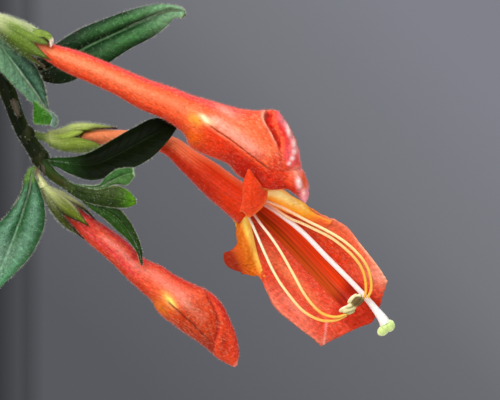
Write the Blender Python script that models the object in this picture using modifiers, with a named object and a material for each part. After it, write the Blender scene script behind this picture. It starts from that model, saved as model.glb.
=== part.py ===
# Goldfish plant in a hanging basket: every piece as a solid at its real size.
#
# Metres, +Z up. The origin is the inside top of the hook, where it bears on whatever carries it.
# The plant's flowering shoot reaches out over the rim towards +X, with its flowers facing -Y.

import math

import bmesh
import bpy
from mathutils import Matrix, Vector

MM = 0.001
GAP = 0.3 * MM                      # clearance between pieces that touch
MERGE = 0.01 * MM                   # points closer than this are one point

# Pot, saucer and potting mix
RIM_Z = -0.280
RIM_RADIUS = 80 * MM                # outside of the wall, under the lip
LIP_RADIUS = 92 * MM
LIP_THICKNESS = 3 * MM
POT_HEIGHT = 115 * MM
POT_BASE_RADIUS = 56 * MM
POT_WALL = 2 * MM
FOOT_HEIGHT = 3 * MM
FOOT_WIDTH = 4 * MM
DRAIN_HOLES = 6
DRAIN_HOLE_RADIUS = 3.5 * MM
DRAIN_RING_RADIUS = 34 * MM
SAUCER_RADIUS = 70 * MM
SAUCER_HEIGHT = 17 * MM
SAUCER_WALL = 1.6 * MM
STUD_RADIUS = 4 * MM                # the stud that snaps the saucer to the pot
STUD_HEAD_RADIUS = 5.5 * MM
STUD_HEAD_HEIGHT = 2.5 * MM
HEADSPACE = 12 * MM                 # from the rim down to the potting mix
TURN_STEPS = 32

# Hanger
WIRE_RADIUS = 1.0 * MM
WIRE_HOLE_RADIUS = 1.6 * MM
WIRE_RING_RADIUS = 85 * MM
WIRE_AZIMUTHS = (45, 165, 285)
WIRE_HOOK_RADIUS = 2.2 * MM         # the bend under the lip
HUB_RADIUS = 9 * MM
HUB_TOP_Z = -38 * MM
HUB_HEIGHT = 16 * MM
HUB_SOCKET_DEPTH = 4 * MM
HOOK_ROD_RADIUS = 1.5 * MM
HOOK_INNER_RADIUS = 9 * MM

# Leaves and shoots
STEM_RADIUS = 1.1 * MM
LEAF_LENGTH = 26 * MM
LEAF_WIDTH = 10 * MM
LEAF_THICKNESS = 1.5 * MM
PAIR_SPACING = 26 * MM
ROOT_STRAIGHT = 8 * MM              # each stem leaves the mix straight up
TIP_OVERLAP = 2 * MM                # the last pair sits this far back from the stem's end
CALYX_LENGTH = 11 * MM
CALYX_RADIUS = 3.0 * MM

# Trailing shoots: azimuth, how far out they hang, height of the tip, swing of the tip (degrees)
TRAILING_SHOOTS = (
    (30, 0.122, -0.452, 7), (60, 0.134, -0.505, -4), (90, 0.126, -0.540, 5),
    (120, 0.137, -0.478, -5), (150, 0.125, -0.528, 4), (180, 0.136, -0.496, -4),
    (210, 0.128, -0.548, 5), (240, 0.138, -0.487, -4), (270, 0.127, -0.532, 4),
    (300, 0.135, -0.470, -5), (330, 0.122, -0.498, -7),
)
# Crown shoots: azimuth, start radius, reach of the tip, height of the top
CROWN_SHOOTS = (
    (10, 0.026, 0.078, -0.236), (75, 0.026, 0.086, -0.228), (130, 0.026, 0.080, -0.218),
    (195, 0.026, 0.086, -0.226), (250, 0.026, 0.080, -0.216), (315, 0.026, 0.078, -0.230),
)
# Flowers on the trailing shoots: shoot, share of its length, lean aside and down (degrees), open
BASKET_FLOWERS = (
    (1, 0.50, 10, 18, True), (2, 0.38, -12, 8, True), (2, 0.72, 14, 30, False),
    (3, 0.52, -8, 20, True), (4, 0.44, 10, 12, False), (5, 0.60, -10, 24, True),
    (6, 0.40, 8, 10, True), (6, 0.74, -12, 34, False), (7, 0.52, 10, 20, True),
    (8, 0.36, -10, 6, True), (8, 0.68, 12, 28, True), (9, 0.50, -8, 16, False),
    (9, 0.80, 10, 36, True), (5, 0.34, 12, 4, True),
)

# The flowering shoot. Its own measures are millimetres from this leaf node on its stem:
# x outwards, y away from the viewer of the flowers, z up.
FLOWER_NODE = Vector((0.1492, 0.0, -0.355))

parts = bpy.data.collections.new("goldfish_plant_hanging_basket")
cutters = bpy.data.collections.new("cutters")


# ---------------------------------------------------------------- helpers

def clear_scene():
    for thing in list(bpy.data.objects):
        bpy.data.objects.remove(thing, do_unlink=True)
    for group in (parts, cutters):
        bpy.context.scene.collection.children.link(group)


def finish(name, colour, roughness, metallic=0.0):
    material = bpy.data.materials.new(name)
    material.use_nodes = True
    shader = material.node_tree.nodes["Principled BSDF"]
    shader.inputs["Base Color"].default_value = (*colour, 1.0)
    shader.inputs["Roughness"].default_value = roughness
    shader.inputs["Metallic"].default_value = metallic
    material.diffuse_color = (*colour, 1.0)
    return material


def add_object(name, mesh, material=None, group=None):
    thing = bpy.data.objects.new(name, mesh)
    (group or parts).objects.link(thing)
    if material:
        mesh.materials.clear()
        mesh.materials.append(material)
    return thing


def add_cutter(name, mesh):
    thing = add_object(name, mesh, group=cutters)
    thing.hide_render = True
    thing.display_type = "WIRE"
    return thing


def combine(thing, other, operation):
    modifier = thing.modifiers.new(operation.title(), "BOOLEAN")
    modifier.operation = operation
    modifier.solver = "EXACT"
    modifier.object = other


def local(x, y, z):
    """A place on the flowering shoot, in millimetres from its leaf node."""
    return FLOWER_NODE + MM * Vector((x, y, z))


def polar(radius, azimuth, z):
    angle = math.radians(azimuth)
    return Vector((radius * math.cos(angle), radius * math.sin(angle), z))


def smooth_route(points, per_span):
    """Points along a smooth curve that passes through all of the given points."""
    points = [Vector(p) for p in points]
    ends = [2 * points[0] - points[1]] + points + [2 * points[-1] - points[-2]]
    route = []
    for i in range(1, len(ends) - 2):
        a, b, c, d = ends[i - 1:i + 3]
        for step in range(per_span):
            t = step / per_span
            route.append(0.5 * (2 * b + (c - a) * t + (2 * a - 5 * b + 4 * c - d) * t ** 2
                                + (3 * b - a - 3 * c + d) * t ** 3))
    route.append(points[-1])
    return route


def at_share(route, share):
    """The place and direction at a share (0 to 1) of a route's length."""
    lengths = [0.0]
    for a, b in zip(route, route[1:]):
        lengths.append(lengths[-1] + (b - a).length)
    wanted = min(max(share, 0.0), 1.0) * lengths[-1]
    for i, (a, b) in enumerate(zip(route, route[1:])):
        if lengths[i + 1] >= wanted:
            t = (wanted - lengths[i]) / (lengths[i + 1] - lengths[i])
            return a.lerp(b, t), (b - a).normalized()
    return route[-1], (route[-1] - route[-2]).normalized()


def route_length(route):
    return sum((b - a).length for a, b in zip(route, route[1:]))


def tube_mesh(name, points, radii, resolution):
    """A closed tube along the points; radii is one radius or one for each point."""
    if not isinstance(radii, (list, tuple)):
        radii = [radii] * len(points)
    curve = bpy.data.curves.new(name, "CURVE")
    curve.dimensions = "3D"
    curve.bevel_depth = MM
    curve.bevel_resolution = resolution
    curve.use_fill_caps = True
    spline = curve.splines.new("POLY")
    spline.points.add(len(points) - 1)
    for spot, place, radius in zip(spline.points, points, radii):
        spot.co = (*place, 1.0)
        spot.radius = radius / MM
    guide = bpy.data.objects.new(name + "_guide", curve)
    cutters.objects.link(guide)
    bpy.context.view_layer.update()
    evaluated = guide.evaluated_get(bpy.context.evaluated_depsgraph_get())
    mesh = bpy.data.meshes.new_from_object(evaluated)
    mesh.name = name
    bpy.data.objects.remove(guide, do_unlink=True)
    cage = bmesh.new()
    cage.from_mesh(mesh)
    bmesh.ops.remove_doubles(cage, verts=cage.verts, dist=MERGE)
    bmesh.ops.recalc_face_normals(cage, faces=cage.faces)
    cage.to_mesh(mesh)
    cage.free()
    return mesh


def turned(name, profile, material, steps=TURN_STEPS):
    """A solid of revolution about Z from (radius, height) points, down the outer side first."""
    mesh = bpy.data.meshes.new(name)
    cage = bmesh.new()
    corners = [cage.verts.new((radius, 0.0, z)) for radius, z in profile]
    for a, b in zip(corners, corners[1:]):
        cage.edges.new((a, b))
    if profile[0][0] > 0:
        cage.edges.new((corners[-1], corners[0]))
    cage.to_mesh(mesh)
    cage.free()
    thing = add_object(name, mesh, material)
    screw = thing.modifiers.new("Turn", "SCREW")
    screw.angle = 2 * math.pi
    screw.steps = steps
    screw.render_steps = steps
    screw.use_merge_vertices = True
    screw.merge_threshold = MERGE
    screw.use_normal_calculate = False
    return thing


def drill(thing, name, place, radius, depth, sides=10):
    """A round hole straight down through a piece, centred on a place."""
    cage = bmesh.new()
    bmesh.ops.create_cone(cage, cap_ends=True, segments=sides, radius1=radius, radius2=radius,
                          depth=depth, matrix=Matrix.Translation(place))
    mesh = bpy.data.meshes.new(name)
    cage.to_mesh(mesh)
    cage.free()
    combine(thing, add_cutter(name, mesh), "DIFFERENCE")


def loft_mesh(name, stations, sides, wall=0.0, floor=0, tooth=0.0):
    """A closed skin over oval sections along a path.

    Each station is (centre, half width, half depth): the width lies across the path in the
    X-Z plane and the depth along Y. A wall makes it hollow from its far end back to the
    station numbered floor, and a tooth draws the points of its mouth out, every second one.
    """
    rings = []
    for i, (centre, width, depth) in enumerate(stations):
        before = stations[max(i - 1, 0)][0]
        after = stations[min(i + 1, len(stations) - 1)][0]
        along = (after - before).normalized()
        deep = Vector((0, 1, 0))
        deep = (deep - deep.dot(along) * along).normalized()
        rings.append((centre, along, along.cross(deep), deep, width, depth))
    last = len(rings) - 1
    order = [(i, 0.0) for i in range(last + 1)]
    if wall:
        order += [(i, wall) for i in range(last, floor - 1, -1)]
    cage = bmesh.new()
    loops = []
    for i, inset in order:
        centre, along, across, deep, width, depth = rings[i]
        loop = []
        for k in range(sides):
            angle = 2 * math.pi * k / sides
            push = tooth if (i == last and k % 2 == 0) else 0.0
            loop.append(cage.verts.new(centre + (width - inset) * math.cos(angle) * across
                                       + (depth - inset) * math.sin(angle) * deep + push * along))
        loops.append(loop)
    for here, there in zip(loops, loops[1:]):
        for k in range(sides):
            m = (k + 1) % sides
            cage.faces.new((here[k], here[m], there[m], there[k]))
    cage.faces.new(loops[0][::-1])
    cage.faces.new(loops[-1])
    bmesh.ops.recalc_face_normals(cage, faces=cage.faces)
    mesh = bpy.data.meshes.new(name)
    cage.to_mesh(mesh)
    cage.free()
    return mesh


def sheet_mesh(name, rows):
    """An open sheet through rows of places that all have the same number of points."""
    cage = bmesh.new()
    grid = [[cage.verts.new(place) for place in row] for row in rows]
    for here, there in zip(grid, grid[1:]):
        for k in range(len(here) - 1):
            cage.faces.new((here[k], here[k + 1], there[k + 1], there[k]))
    mesh = bpy.data.meshes.new(name)
    cage.to_mesh(mesh)
    cage.free()
    return mesh


def thicken(thing, thickness):
    solid = thing.modifiers.new("Thickness", "SOLIDIFY")
    solid.thickness = thickness
    solid.offset = 0.0


# ---------------------------------------------------------------- the hanging pot

def make_pot(material):
    lip_under = RIM_Z - LIP_THICKNESS
    foot = RIM_Z - POT_HEIGHT
    base = foot + FOOT_HEIGHT
    profile = (
        (LIP_RADIUS, RIM_Z), (LIP_RADIUS, lip_under), (RIM_RADIUS, lip_under),
        (POT_BASE_RADIUS, foot), (POT_BASE_RADIUS - FOOT_WIDTH, foot),
        (POT_BASE_RADIUS - FOOT_WIDTH, base), (STUD_RADIUS + GAP, base),
        (STUD_RADIUS + GAP, base + POT_WALL), (POT_BASE_RADIUS - POT_WALL, base + POT_WALL),
        (RIM_RADIUS - POT_WALL, RIM_Z),
    )
    pot = turned("pot", profile, material)
    for azimuth in WIRE_AZIMUTHS:
        drill(pot, f"wire_hole_{azimuth}", polar(WIRE_RING_RADIUS, azimuth, lip_under),
              WIRE_HOLE_RADIUS, 4 * LIP_THICKNESS)
    for number in range(DRAIN_HOLES):
        place = polar(DRAIN_RING_RADIUS, number * 360 / DRAIN_HOLES, base)
        drill(pot, f"drain_hole_{number + 1}", place, DRAIN_HOLE_RADIUS, 4 * POT_WALL, sides=8)
    return pot


def make_saucer(material):
    seat = RIM_Z - POT_HEIGHT - GAP                     # carries the pot's foot
    inner_floor = seat - 4 * MM
    under = inner_floor - SAUCER_WALL
    edge = inner_floor + SAUCER_HEIGHT
    rib_outer = POT_BASE_RADIUS
    pot_floor_top = RIM_Z - POT_HEIGHT + FOOT_HEIGHT + POT_WALL
    head = pot_floor_top + GAP
    waist = STUD_RADIUS - GAP
    profile = (
        (0.0, head + STUD_HEAD_HEIGHT), (STUD_HEAD_RADIUS, head + STUD_HEAD_HEIGHT / 2),
        (STUD_HEAD_RADIUS, head), (waist, head), (waist, inner_floor),
        (rib_outer - FOOT_WIDTH, inner_floor), (rib_outer - FOOT_WIDTH, seat), (rib_outer, seat),
        (rib_outer, inner_floor), (SAUCER_RADIUS - 4 * MM, inner_floor),
        (SAUCER_RADIUS - SAUCER_WALL, edge), (SAUCER_RADIUS, edge),
        (SAUCER_RADIUS - 4 * MM, under), (0.0, under),
    )
    return turned("drip_saucer", profile, material)


def make_potting_mix(material):
    top = RIM_Z - HEADSPACE
    floor = RIM_Z - POT_HEIGHT + FOOT_HEIGHT + POT_WALL + GAP
    wall_top = RIM_RADIUS - POT_WALL
    wall_base = POT_BASE_RADIUS - POT_WALL
    slope = (wall_top - wall_base) / (RIM_Z - floor)
    recess = STUD_HEAD_RADIUS + GAP
    profile = (
        (0.0, top), (wall_base + slope * (top - floor) - 2 * GAP, top),
        (wall_base - 2 * GAP, floor), (recess, floor),
        (recess, floor + STUD_HEAD_HEIGHT + 2 * GAP), (0.0, floor + STUD_HEAD_HEIGHT + 2 * GAP),
    )
    return turned("potting_mix", profile, material)


def wire_route(azimuth):
    """From the hub's socket down to the lip, through its hole, and hooked under it."""
    ring = WIRE_RING_RADIUS
    under = RIM_Z - LIP_THICKNESS - GAP
    bottom = under - 2.5 * MM
    turn = [(ring + WIRE_HOOK_RADIUS * (1 - math.cos(angle)), bottom - WIRE_HOOK_RADIUS * math.sin(angle))
            for angle in (math.radians(30 * step) for step in range(1, 7))]
    places = [(3.4 * MM, HUB_TOP_Z - HUB_HEIGHT / 2 - 0.4 * MM), (HUB_RADIUS + 1 * MM, -51.5 * MM),
              (14 * MM, -60 * MM), (ring - 2.6 * MM, RIM_Z + 17 * MM), (ring, RIM_Z + 8 * MM),
              (ring, bottom)] + turn + [(ring + 2 * WIRE_HOOK_RADIUS, under)]
    return [polar(radius, azimuth, z) for radius, z in places]


def make_hanger(wire_material, hub_material):
    hub = turned("hanger_hub", (
        (0.0, HUB_TOP_Z), (HUB_RADIUS - 2 * MM, HUB_TOP_Z), (HUB_RADIUS, HUB_TOP_Z - 3 * MM),
        (HUB_RADIUS, HUB_TOP_Z - HUB_HEIGHT + 3 * MM), (HUB_RADIUS - 3 * MM, HUB_TOP_Z - HUB_HEIGHT),
        (0.0, HUB_TOP_Z - HUB_HEIGHT)), hub_material, steps=24)
    drill(hub, "hook_socket", Vector((0, 0, HUB_TOP_Z)), HOOK_ROD_RADIUS + GAP, 12 * MM)
    for number, azimuth in enumerate(WIRE_AZIMUTHS):
        route = wire_route(azimuth)
        wire = tube_mesh(f"hanger_wire_{number + 1}", route, WIRE_RADIUS, 1)
        add_object(wire.name, wire, wire_material)
        inner, outer = route[0], route[1]
        start = inner + (inner - outer).normalized() * GAP
        bore = tube_mesh(f"wire_socket_{azimuth}", [start, outer], WIRE_RADIUS + 1.5 * GAP, 2)
        combine(hub, add_cutter(bore.name, bore), "DIFFERENCE")
    bend = HOOK_INNER_RADIUS + HOOK_ROD_RADIUS
    middle = -HOOK_INNER_RADIUS
    route = [Vector((0, 0, HUB_TOP_Z - 6 * MM + GAP)), Vector((0, 0, middle - bend - 8 * MM)),
             Vector((0, 0, middle - bend - 3 * MM)), Vector((1.2 * MM, 0, middle - bend - 0.8 * MM))]
    for step in range(14):
        angle = math.radians(-62 + 20 * step)
        route.append(Vector((bend * math.cos(angle), 0, middle + bend * math.sin(angle))))
    hook = tube_mesh("hanger_hook", route, HOOK_ROD_RADIUS, 2)
    add_object("hanger_hook", hook, wire_material)


# ---------------------------------------------------------------- the rest of the plant

def leaf_mesh(name, base, along, face, length, width):
    """A simple keeled leaf: a long lozenge with its ridge along the midrib."""
    along = along.normalized()
    face = (face - face.dot(along) * along).normalized()
    across = along.cross(face)
    turn = Matrix((across, face, along)).transposed().to_4x4()
    cage = bmesh.new()
    bmesh.ops.create_uvsphere(cage, u_segments=4, v_segments=3, radius=1.0,
                              matrix=Matrix.Translation(base + along * length / 2) @ turn
                              @ Matrix.Diagonal((width * 0.58, LEAF_THICKNESS * 0.58, length / 2, 1.0)))
    mesh = bpy.data.meshes.new(name)
    cage.to_mesh(mesh)
    cage.free()
    return mesh


def trailing_route(azimuth, reach, tip, swing):
    """Up from the mix, over the lip and down outside the pot."""
    top = RIM_Z - HEADSPACE
    return smooth_route((
        polar(0.053, azimuth, top + GAP), polar(0.053, azimuth, top + ROOT_STRAIGHT),
        polar(0.059, azimuth, RIM_Z + 6 * MM),
        polar(0.075, azimuth, RIM_Z + 12 * MM), polar(0.097, azimuth, RIM_Z + 7 * MM),
        polar(reach - 9 * MM, azimuth + swing * 0.2, RIM_Z - 16 * MM),
        polar(reach, azimuth + swing * 0.5, RIM_Z - 62 * MM),
        polar(reach + 2 * MM, azimuth + swing * 0.8, (RIM_Z - 62 * MM + tip) / 2),
        polar(reach - 4 * MM, azimuth + swing, tip)), 2)


def crown_route(azimuth, start, reach, height):
    """A short arching shoot over the middle of the pot."""
    top = RIM_Z - HEADSPACE
    rise = height - top
    return smooth_route((
        polar(start, azimuth, top + GAP), polar(start, azimuth, top + ROOT_STRAIGHT),
        polar(start + 4 * MM, azimuth, top + 0.5 * rise),
        polar(start + 0.35 * (reach - start), azimuth, top + 0.9 * rise),
        polar(start + 0.72 * (reach - start), azimuth, height), polar(reach, azimuth, height - 7 * MM)), 2)


def leaf_pairs(route, first, spacing, largest):
    """Places, directions and faces of opposite leaves along a route, and a pair at its tip."""
    length = route_length(route)
    count = int((length - first) / spacing)
    for pair in range(count + 1):
        share = (first + pair * spacing) / length if pair < count else 1 - TIP_OVERLAP / length
        place, along = at_share(route, share)
        outward = Vector((place.x, place.y, 0)).normalized()
        side = along.cross(outward).normalized()
        face = side.cross(along).normalized()
        size = largest * (1 - 0.45 * (pair / count) ** 2)
        for hand in (-1, 1):
            lean = 0.30 + 0.10 * ((pair + (hand > 0)) % 2)
            if pair == count:
                lean = 1.2
            yield place, hand * side + lean * along + 0.32 * face, face - 0.25 * along, size


def make_shoot(name, route, first, largest, material, calyxes=()):
    """A stem with its leaves, and the calyxes of its flowers, grown as one piece."""
    radii = [STEM_RADIUS * (1.15 - 0.45 * i / (len(route) - 1)) for i in range(len(route))]
    shoot = add_object(name, tube_mesh(name, route, radii, 0), material)
    grown = bpy.data.collections.new(name + "_leaves")
    cutters.children.link(grown)
    meshes = []
    for number, (place, along, face, size) in enumerate(leaf_pairs(route, first, PAIR_SPACING, largest)):
        meshes.append(leaf_mesh(f"{name}_leaf_{number + 1}", place, along, face, size,
                                LEAF_WIDTH * (0.35 + 0.65 * size / LEAF_LENGTH)))
    for number, (base, along) in enumerate(calyxes):
        stations = [(base + along * share * CALYX_LENGTH, radius, radius) for share, radius in
                    ((0.0, 0.7 * MM), (0.35, 1.0 * MM), (0.55, 0.85 * CALYX_RADIUS), (1.0, CALYX_RADIUS))]
        meshes.append(loft_mesh(f"{name}_calyx_{number + 1}", stations, 6))
    for mesh in meshes:
        piece = add_cutter(mesh.name, mesh)
        cutters.objects.unlink(piece)
        grown.objects.link(piece)
    union = shoot.modifiers.new("Grown together", "BOOLEAN")
    union.operation = "UNION"
    union.solver = "EXACT"
    union.operand_type = "COLLECTION"
    union.collection = grown
    return shoot


def flower_axis(route, share, aside, down):
    """Where a flower leaves its shoot, and the way it points."""
    place, _ = at_share(route, share)
    azimuth = math.degrees(math.atan2(place.y, place.x)) + aside
    along = polar(math.cos(math.radians(down)), azimuth, -math.sin(math.radians(down)))
    return place, along


# Corolla sections: distance along, rise of the centre, half width across, half height (mm)
OPEN_SECTIONS = ((0, 0, 2.1, 2.1), (14, 1.0, 2.5, 2.7), (26, 2.0, 3.6, 4.2), (33, 3.2, 4.6, 5.2),
                 (40, 6.2, 6.5, 2.6), (48, 8.4, 8.6, 1.4), (57, 8.8, 8.0, 1.0), (62, 8.0, 3.6, 0.6))
BUD_SECTIONS = ((0, 0, 2.0, 2.0), (14, 0.4, 2.4, 2.6), (24, 0.8, 3.6, 4.2), (31, 1.2, 4.4, 5.0),
                (38, 0.4, 3.2, 3.6), (43, -0.6, 1.2, 1.4))


def make_corolla(name, base, along, is_open, material):
    """A flower of the basket: the hooded tube, or the closed bud, as one solid."""
    sections = OPEN_SECTIONS if is_open else BUD_SECTIONS
    up = Vector((0, 0, 1))
    up = (up - up.dot(along) * along).normalized()
    side = along.cross(up)
    stations = [(Vector((s * MM, 0, rise * MM)), high * MM, wide * MM) for s, rise, wide, high in sections]
    mesh = loft_mesh(name, stations, 8)
    frame = Matrix((along, -side, up)).transposed().to_4x4()
    mesh.transform(Matrix.Translation(base) @ frame)
    return add_object(name, mesh, material)


def make_plant(leaf_material, corolla_materials):
    routes = [trailing_route(*values) for values in TRAILING_SHOOTS]
    calyxes = {}
    for number, (shoot, share, aside, down, is_open) in enumerate(BASKET_FLOWERS):
        place, along = flower_axis(routes[shoot], share, aside, down)
        calyxes.setdefault(shoot, []).append((place, along))
        make_corolla(f"flower_{number + 1:02d}", place + along * (CALYX_LENGTH + GAP), along, is_open,
                     corolla_materials[number % len(corolla_materials)])
    for number, route in enumerate(routes):
        make_shoot(f"trailing_shoot_{number + 1:02d}", route, 66 * MM, LEAF_LENGTH, leaf_material,
                   calyxes.get(number, ()))
    for number, values in enumerate(CROWN_SHOOTS):
        make_shoot(f"crown_shoot_{number + 1}", crown_route(*values), (26 + 8 * (number % 2)) * MM,
                   0.78 * LEAF_LENGTH, leaf_material)


# ---------------------------------------------------------------- the flowering shoot

# Its leaves: the midrib's places, the half widths to its two sides at each of them, and the
# two directions in which the halves lie (mm, from the leaf node).
FLOWERING_LEAVES = {
    "leaf_upper": (
        ((-9.2, 2.1, 23.4), (-5.2, 3.6, 20.4), (-1.0, 4.2, 19.4), (7.0, 4.6, 23.4), (15.0, 5.0, 27.4),
         (23.0, 5.4, 30.6), (28.6, 5.6, 32.6), (31.4, 5.2, 32.4)),
        (0.4, 0.7, 2.2, 4.9, 4.8, 3.6, 1.8, 0.3), (0.4, 0.7, 2.6, 4.9, 5.0, 3.6, 1.2, 0.3),
        (-0.45, 0.1, 0.88), (0.45, -0.1, -0.88)),
    "leaf_underside": (
        ((3.1, -1.0, -0.1), (5.4, -2.0, -0.5), (10.0, -2.6, -0.4), (16.0, -2.8, 1.6), (22.0, -2.8, 4.4),
         (27.0, -2.6, 6.4), (30.0, -2.4, 7.2)),
        (0.8, 1.0, 2.6, 4.3, 4.2, 2.2, 0.3), (0.8, 2.0, 3.4, 4.4, 3.8, 1.8, 0.3),
        (-0.38, -0.1, 0.92), (0.38, 0.1, -0.92)),
    "leaf_lower": (
        ((-1.8, -1.0, -1.6), (-3.0, -1.8, -4.4), (-3.6, -2.2, -8.0), (-4.6, -2.6, -13.0), (-6.6, -2.6, -19.0),
         (-9.2, -2.2, -25.0), (-12.6, -1.6, -30.6)),
        (0.4, 0.8, 3.2, 5.0, 5.2, 3.8, 0.3), (0.4, 0.8, 2.0, 4.8, 6.2, 4.6, 0.3),
        (0.94, 0.2, -0.3), (-0.94, -0.2, 0.3)),
    "leaf_folded": (
        ((-10.6, -2.6, 26.0), (-6.6, -4.2, 21.8), (-3.0, -4.8, 17.0), (-0.8, -4.6, 12.6), (2.6, -4.0, 8.0)),
        (0.8, 2.0, 2.6, 2.0, 0.3), (1.0, 3.0, 3.4, 2.4, 0.3),
        (0.72, 0.55, 0.42), (-0.80, -0.30, -0.52)),
    "leaf_tip_upper": (
        ((8.6, -6.5, -6.7), (12.0, -7.2, -7.2), (16.0, -7.4, -7.4), (20.8, -7.2, -9.0)),
        (0.4, 1.8, 1.9, 0.3), (0.4, 2.0, 2.8, 0.3),
        (0.1, 0.4, 0.9), (-0.1, -0.5, -0.85)),
    "leaf_tip_small": (
        ((8.6, -4.3, -5.7), (14.0, -4.0, -4.2), (17.4, -4.4, -3.2), (20.6, -4.2, -2.6)),
        (0.4, 1.2, 1.6, 0.3), (0.4, 1.2, 1.8, 0.3),
        (0.1, 0.5, 0.85), (-0.1, -0.5, -0.85)),
    "leaf_tip_hanging": (
        ((8.3, -5.9, -8.0), (13.6, -6.6, -11.2), (17.6, -7.0, -13.2), (20.6, -7.0, -17.6),
         (22.1, -6.6, -23.0)),
        (0.4, 1.0, 1.5, 1.2, 0.2), (0.4, 1.0, 1.6, 1.2, 0.2),
        (0.6, 0.3, 0.74), (-0.6, -0.3, -0.74)),
}
BLADE_THICKNESS = 0.6 * MM
LEAF_COLUMNS = (-1.0, -0.5, 0.0, 0.5, 1.0)

# Its calyxes: centre, half width, half depth, from the flower stalk to the mouth (mm)
FLOWERING_CALYXES = {
    "calyx_upper": ((-12.2, -3.0, 32.2, 0.9, 0.9), (-8.4, -6.0, 29.6, 2.2, 2.2), (-4.1, -6.8, 26.9, 3.0, 3.0),
                    (-1.2, -7.0, 25.2, 3.1, 3.1), (1.3, -7.0, 24.0, 3.0, 3.0)),
    "calyx_middle": ((0.7, 1.6, 3.4, 0.9, 0.9), (3.6, 2.2, 4.6, 2.3, 2.2), (7.0, 2.5, 4.8, 3.1, 3.0),
                     (10.4, 2.6, 5.0, 3.1, 3.0), (13.4, 2.6, 5.1, 2.9, 2.9)),
    "calyx_lower": ((-0.5, 1.0, -2.3, 0.8, 0.8), (2.4, 0.2, -6.0, 1.9, 1.9), (5.3, -1.0, -9.8, 3.0, 3.0),
                    (7.7, -1.0, -12.4, 3.1, 3.1), (9.5, -1.0, -14.2, 3.1, 3.1)),
}
CALYX_WALL = 0.55 * MM
CALYX_TOOTH = 1.6 * MM

# Its flowers: where the axis starts, its fall in degrees, and sections along it:
# distance, rise of the centre, shift away from the viewer, half width, half depth (mm)
UPPER_FLOWER = ((2.2, -7.0, 23.3), 23, (
    (-5.5, 0.4, 0.0, 1.6, 1.6), (0.5, 0.0, 0.0, 2.0, 2.0), (10.5, 0.2, 0.0, 2.8, 2.6), (22.5, -0.2, 0.2, 3.3, 3.1),
    (30.0, -0.1, 0.4, 3.7, 3.5), (35.0, -0.9, 0.6, 5.0, 4.6), (41.0, -1.2, 0.8, 5.9, 5.2), (46.8, -1.0, 1.0, 7.2, 5.6),
    (50.5, -0.6, 1.2, 8.1, 5.4), (55.5, -2.4, 1.6, 6.3, 4.4), (59.5, -4.2, 1.8, 3.2, 2.8), (63.8, -7.6, 2.0, 0.5, 0.5)))
LOWER_BUD = ((9.7, -1.0, -14.7), 40, (
    (-5.2, 0.7, 0.0, 1.7, 1.7), (0.7, 0.2, 0.0, 2.2, 2.2), (9.1, 0.4, 0.0, 2.8, 2.6), (15.0, 0.2, 0.0, 3.0, 2.9),
    (22.0, 0.5, 0.1, 4.0, 3.8), (27.0, 0.9, 0.2, 4.9, 4.4), (31.5, 1.3, 0.3, 5.2, 4.4), (36.7, 0.7, 0.4, 4.2, 3.5),
    (41.0, -0.3, 0.4, 2.8, 2.4), (44.5, -2.0, 0.4, 0.4, 0.4)))
OPEN_FLOWER = ((46.9, 0.0, -9.5), 40, (
    (-38.7, -13.5, 2.6, 1.6, 1.6), (-34.2, -9.8, 2.6, 2.0, 2.0), (-29.3, -6.2, 2.8, 2.1, 2.1),
    (-23.0, -2.6, 2.8, 2.2, 2.2), (-16.6, -2.3, 2.4, 2.9, 2.8), (-11.0, -2.2, 2.0, 3.5, 3.4),
    (-5.2, -2.0, 1.4, 3.8, 4.0), (0.6, -1.4, 0.8, 4.8, 4.7)))
THROAT_WALL = 0.8 * MM
THROAT_FLOOR = 6                    # the section where the hollow throat ends

# The open flower's hood: along the axis, its two edges, and the depth of its middle and edges
HOOD_ROWS = ((-2.0, -5.2, 2.2, 5.2, 2.6), (4.0, -7.6, 5.2, 5.6, 1.8), (11.0, -11.0, 7.2, 6.2, 2.0),
             (18.0, -14.2, 8.6, 6.8, 2.6), (25.0, -14.6, 7.8, 6.6, 2.4), (31.0, -13.4, 6.4, 5.4, 2.6),
             (35.6, -7.2, 2.6, 4.2, 3.4))
HOOD_COLUMNS = (-1.0, -0.6, -0.2, 0.2, 0.6, 1.0)
FLAP_ROWS = (((-1.2, -1.6, -4.4), (-1.2, -3.1, -1.2), (-1.2, -1.6, 1.8)),
             ((1.4, -3.6, -3.6), (1.8, -4.6, -0.4), (1.4, -3.6, 2.8)),
             ((-1.2, -6.6, -3.0), (-1.2, -7.4, 0.6), (-1.4, -6.6, 3.8)),
             ((-3.8, -9.2, 0.4), (-4.2, -9.6, 2.6), (-4.0, -9.0, 4.3)),
             ((-5.6, -10.6, 3.6), (-5.9, -10.8, 4.0), (-5.8, -10.6, 4.4)))
# The two side lobes: centre and half sizes along the axis, away from the viewer and across (mm)
SIDE_LOBES = {"right": ((7.6, 1.6, 5.8), (7.2, 1.5, 1.7)), "left": ((5.4, 1.2, -10.2), (4.2, 1.5, 4.0))}
PETAL_THICKNESS = 0.8 * MM

# The open flower's stamens and pistil, along its axis (distance, rise, depth; mm)
FILAMENTS = (
    ((-1.6, -2.6, 0.6), (4.6, -5.0, 0.4), (11.6, -8.4, 0.0), (18.7, -10.7, -0.4), (25.4, -11.1, -0.8),
     (29.6, -8.9, -1.0), (31.0, -6.0, -1.0)),
    ((-1.6, -1.2, -0.4), (4.4, -2.8, -0.8), (10.4, -4.3, -1.2), (18.1, -7.2, -1.8), (24.1, -9.0, -2.0),
     (28.3, -8.3, -1.8), (31.0, -5.4, -1.6)),
    ((-1.6, 0.2, 0.8), (3.4, 1.9, 0.8), (10.0, 3.2, 0.6), (17.7, 4.9, 0.0), (24.3, 4.9, -0.6),
     (29.4, 2.7, -1.0), (31.4, -0.6, -1.0)),
    ((-1.6, 0.4, -0.6), (3.4, 2.7, -0.9), (11.3, 4.5, -1.3), (18.7, 6.1, -1.6), (25.8, 6.0, -1.8),
     (30.7, 3.5, -1.8), (32.0, -0.4, -1.6)),
)
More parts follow.
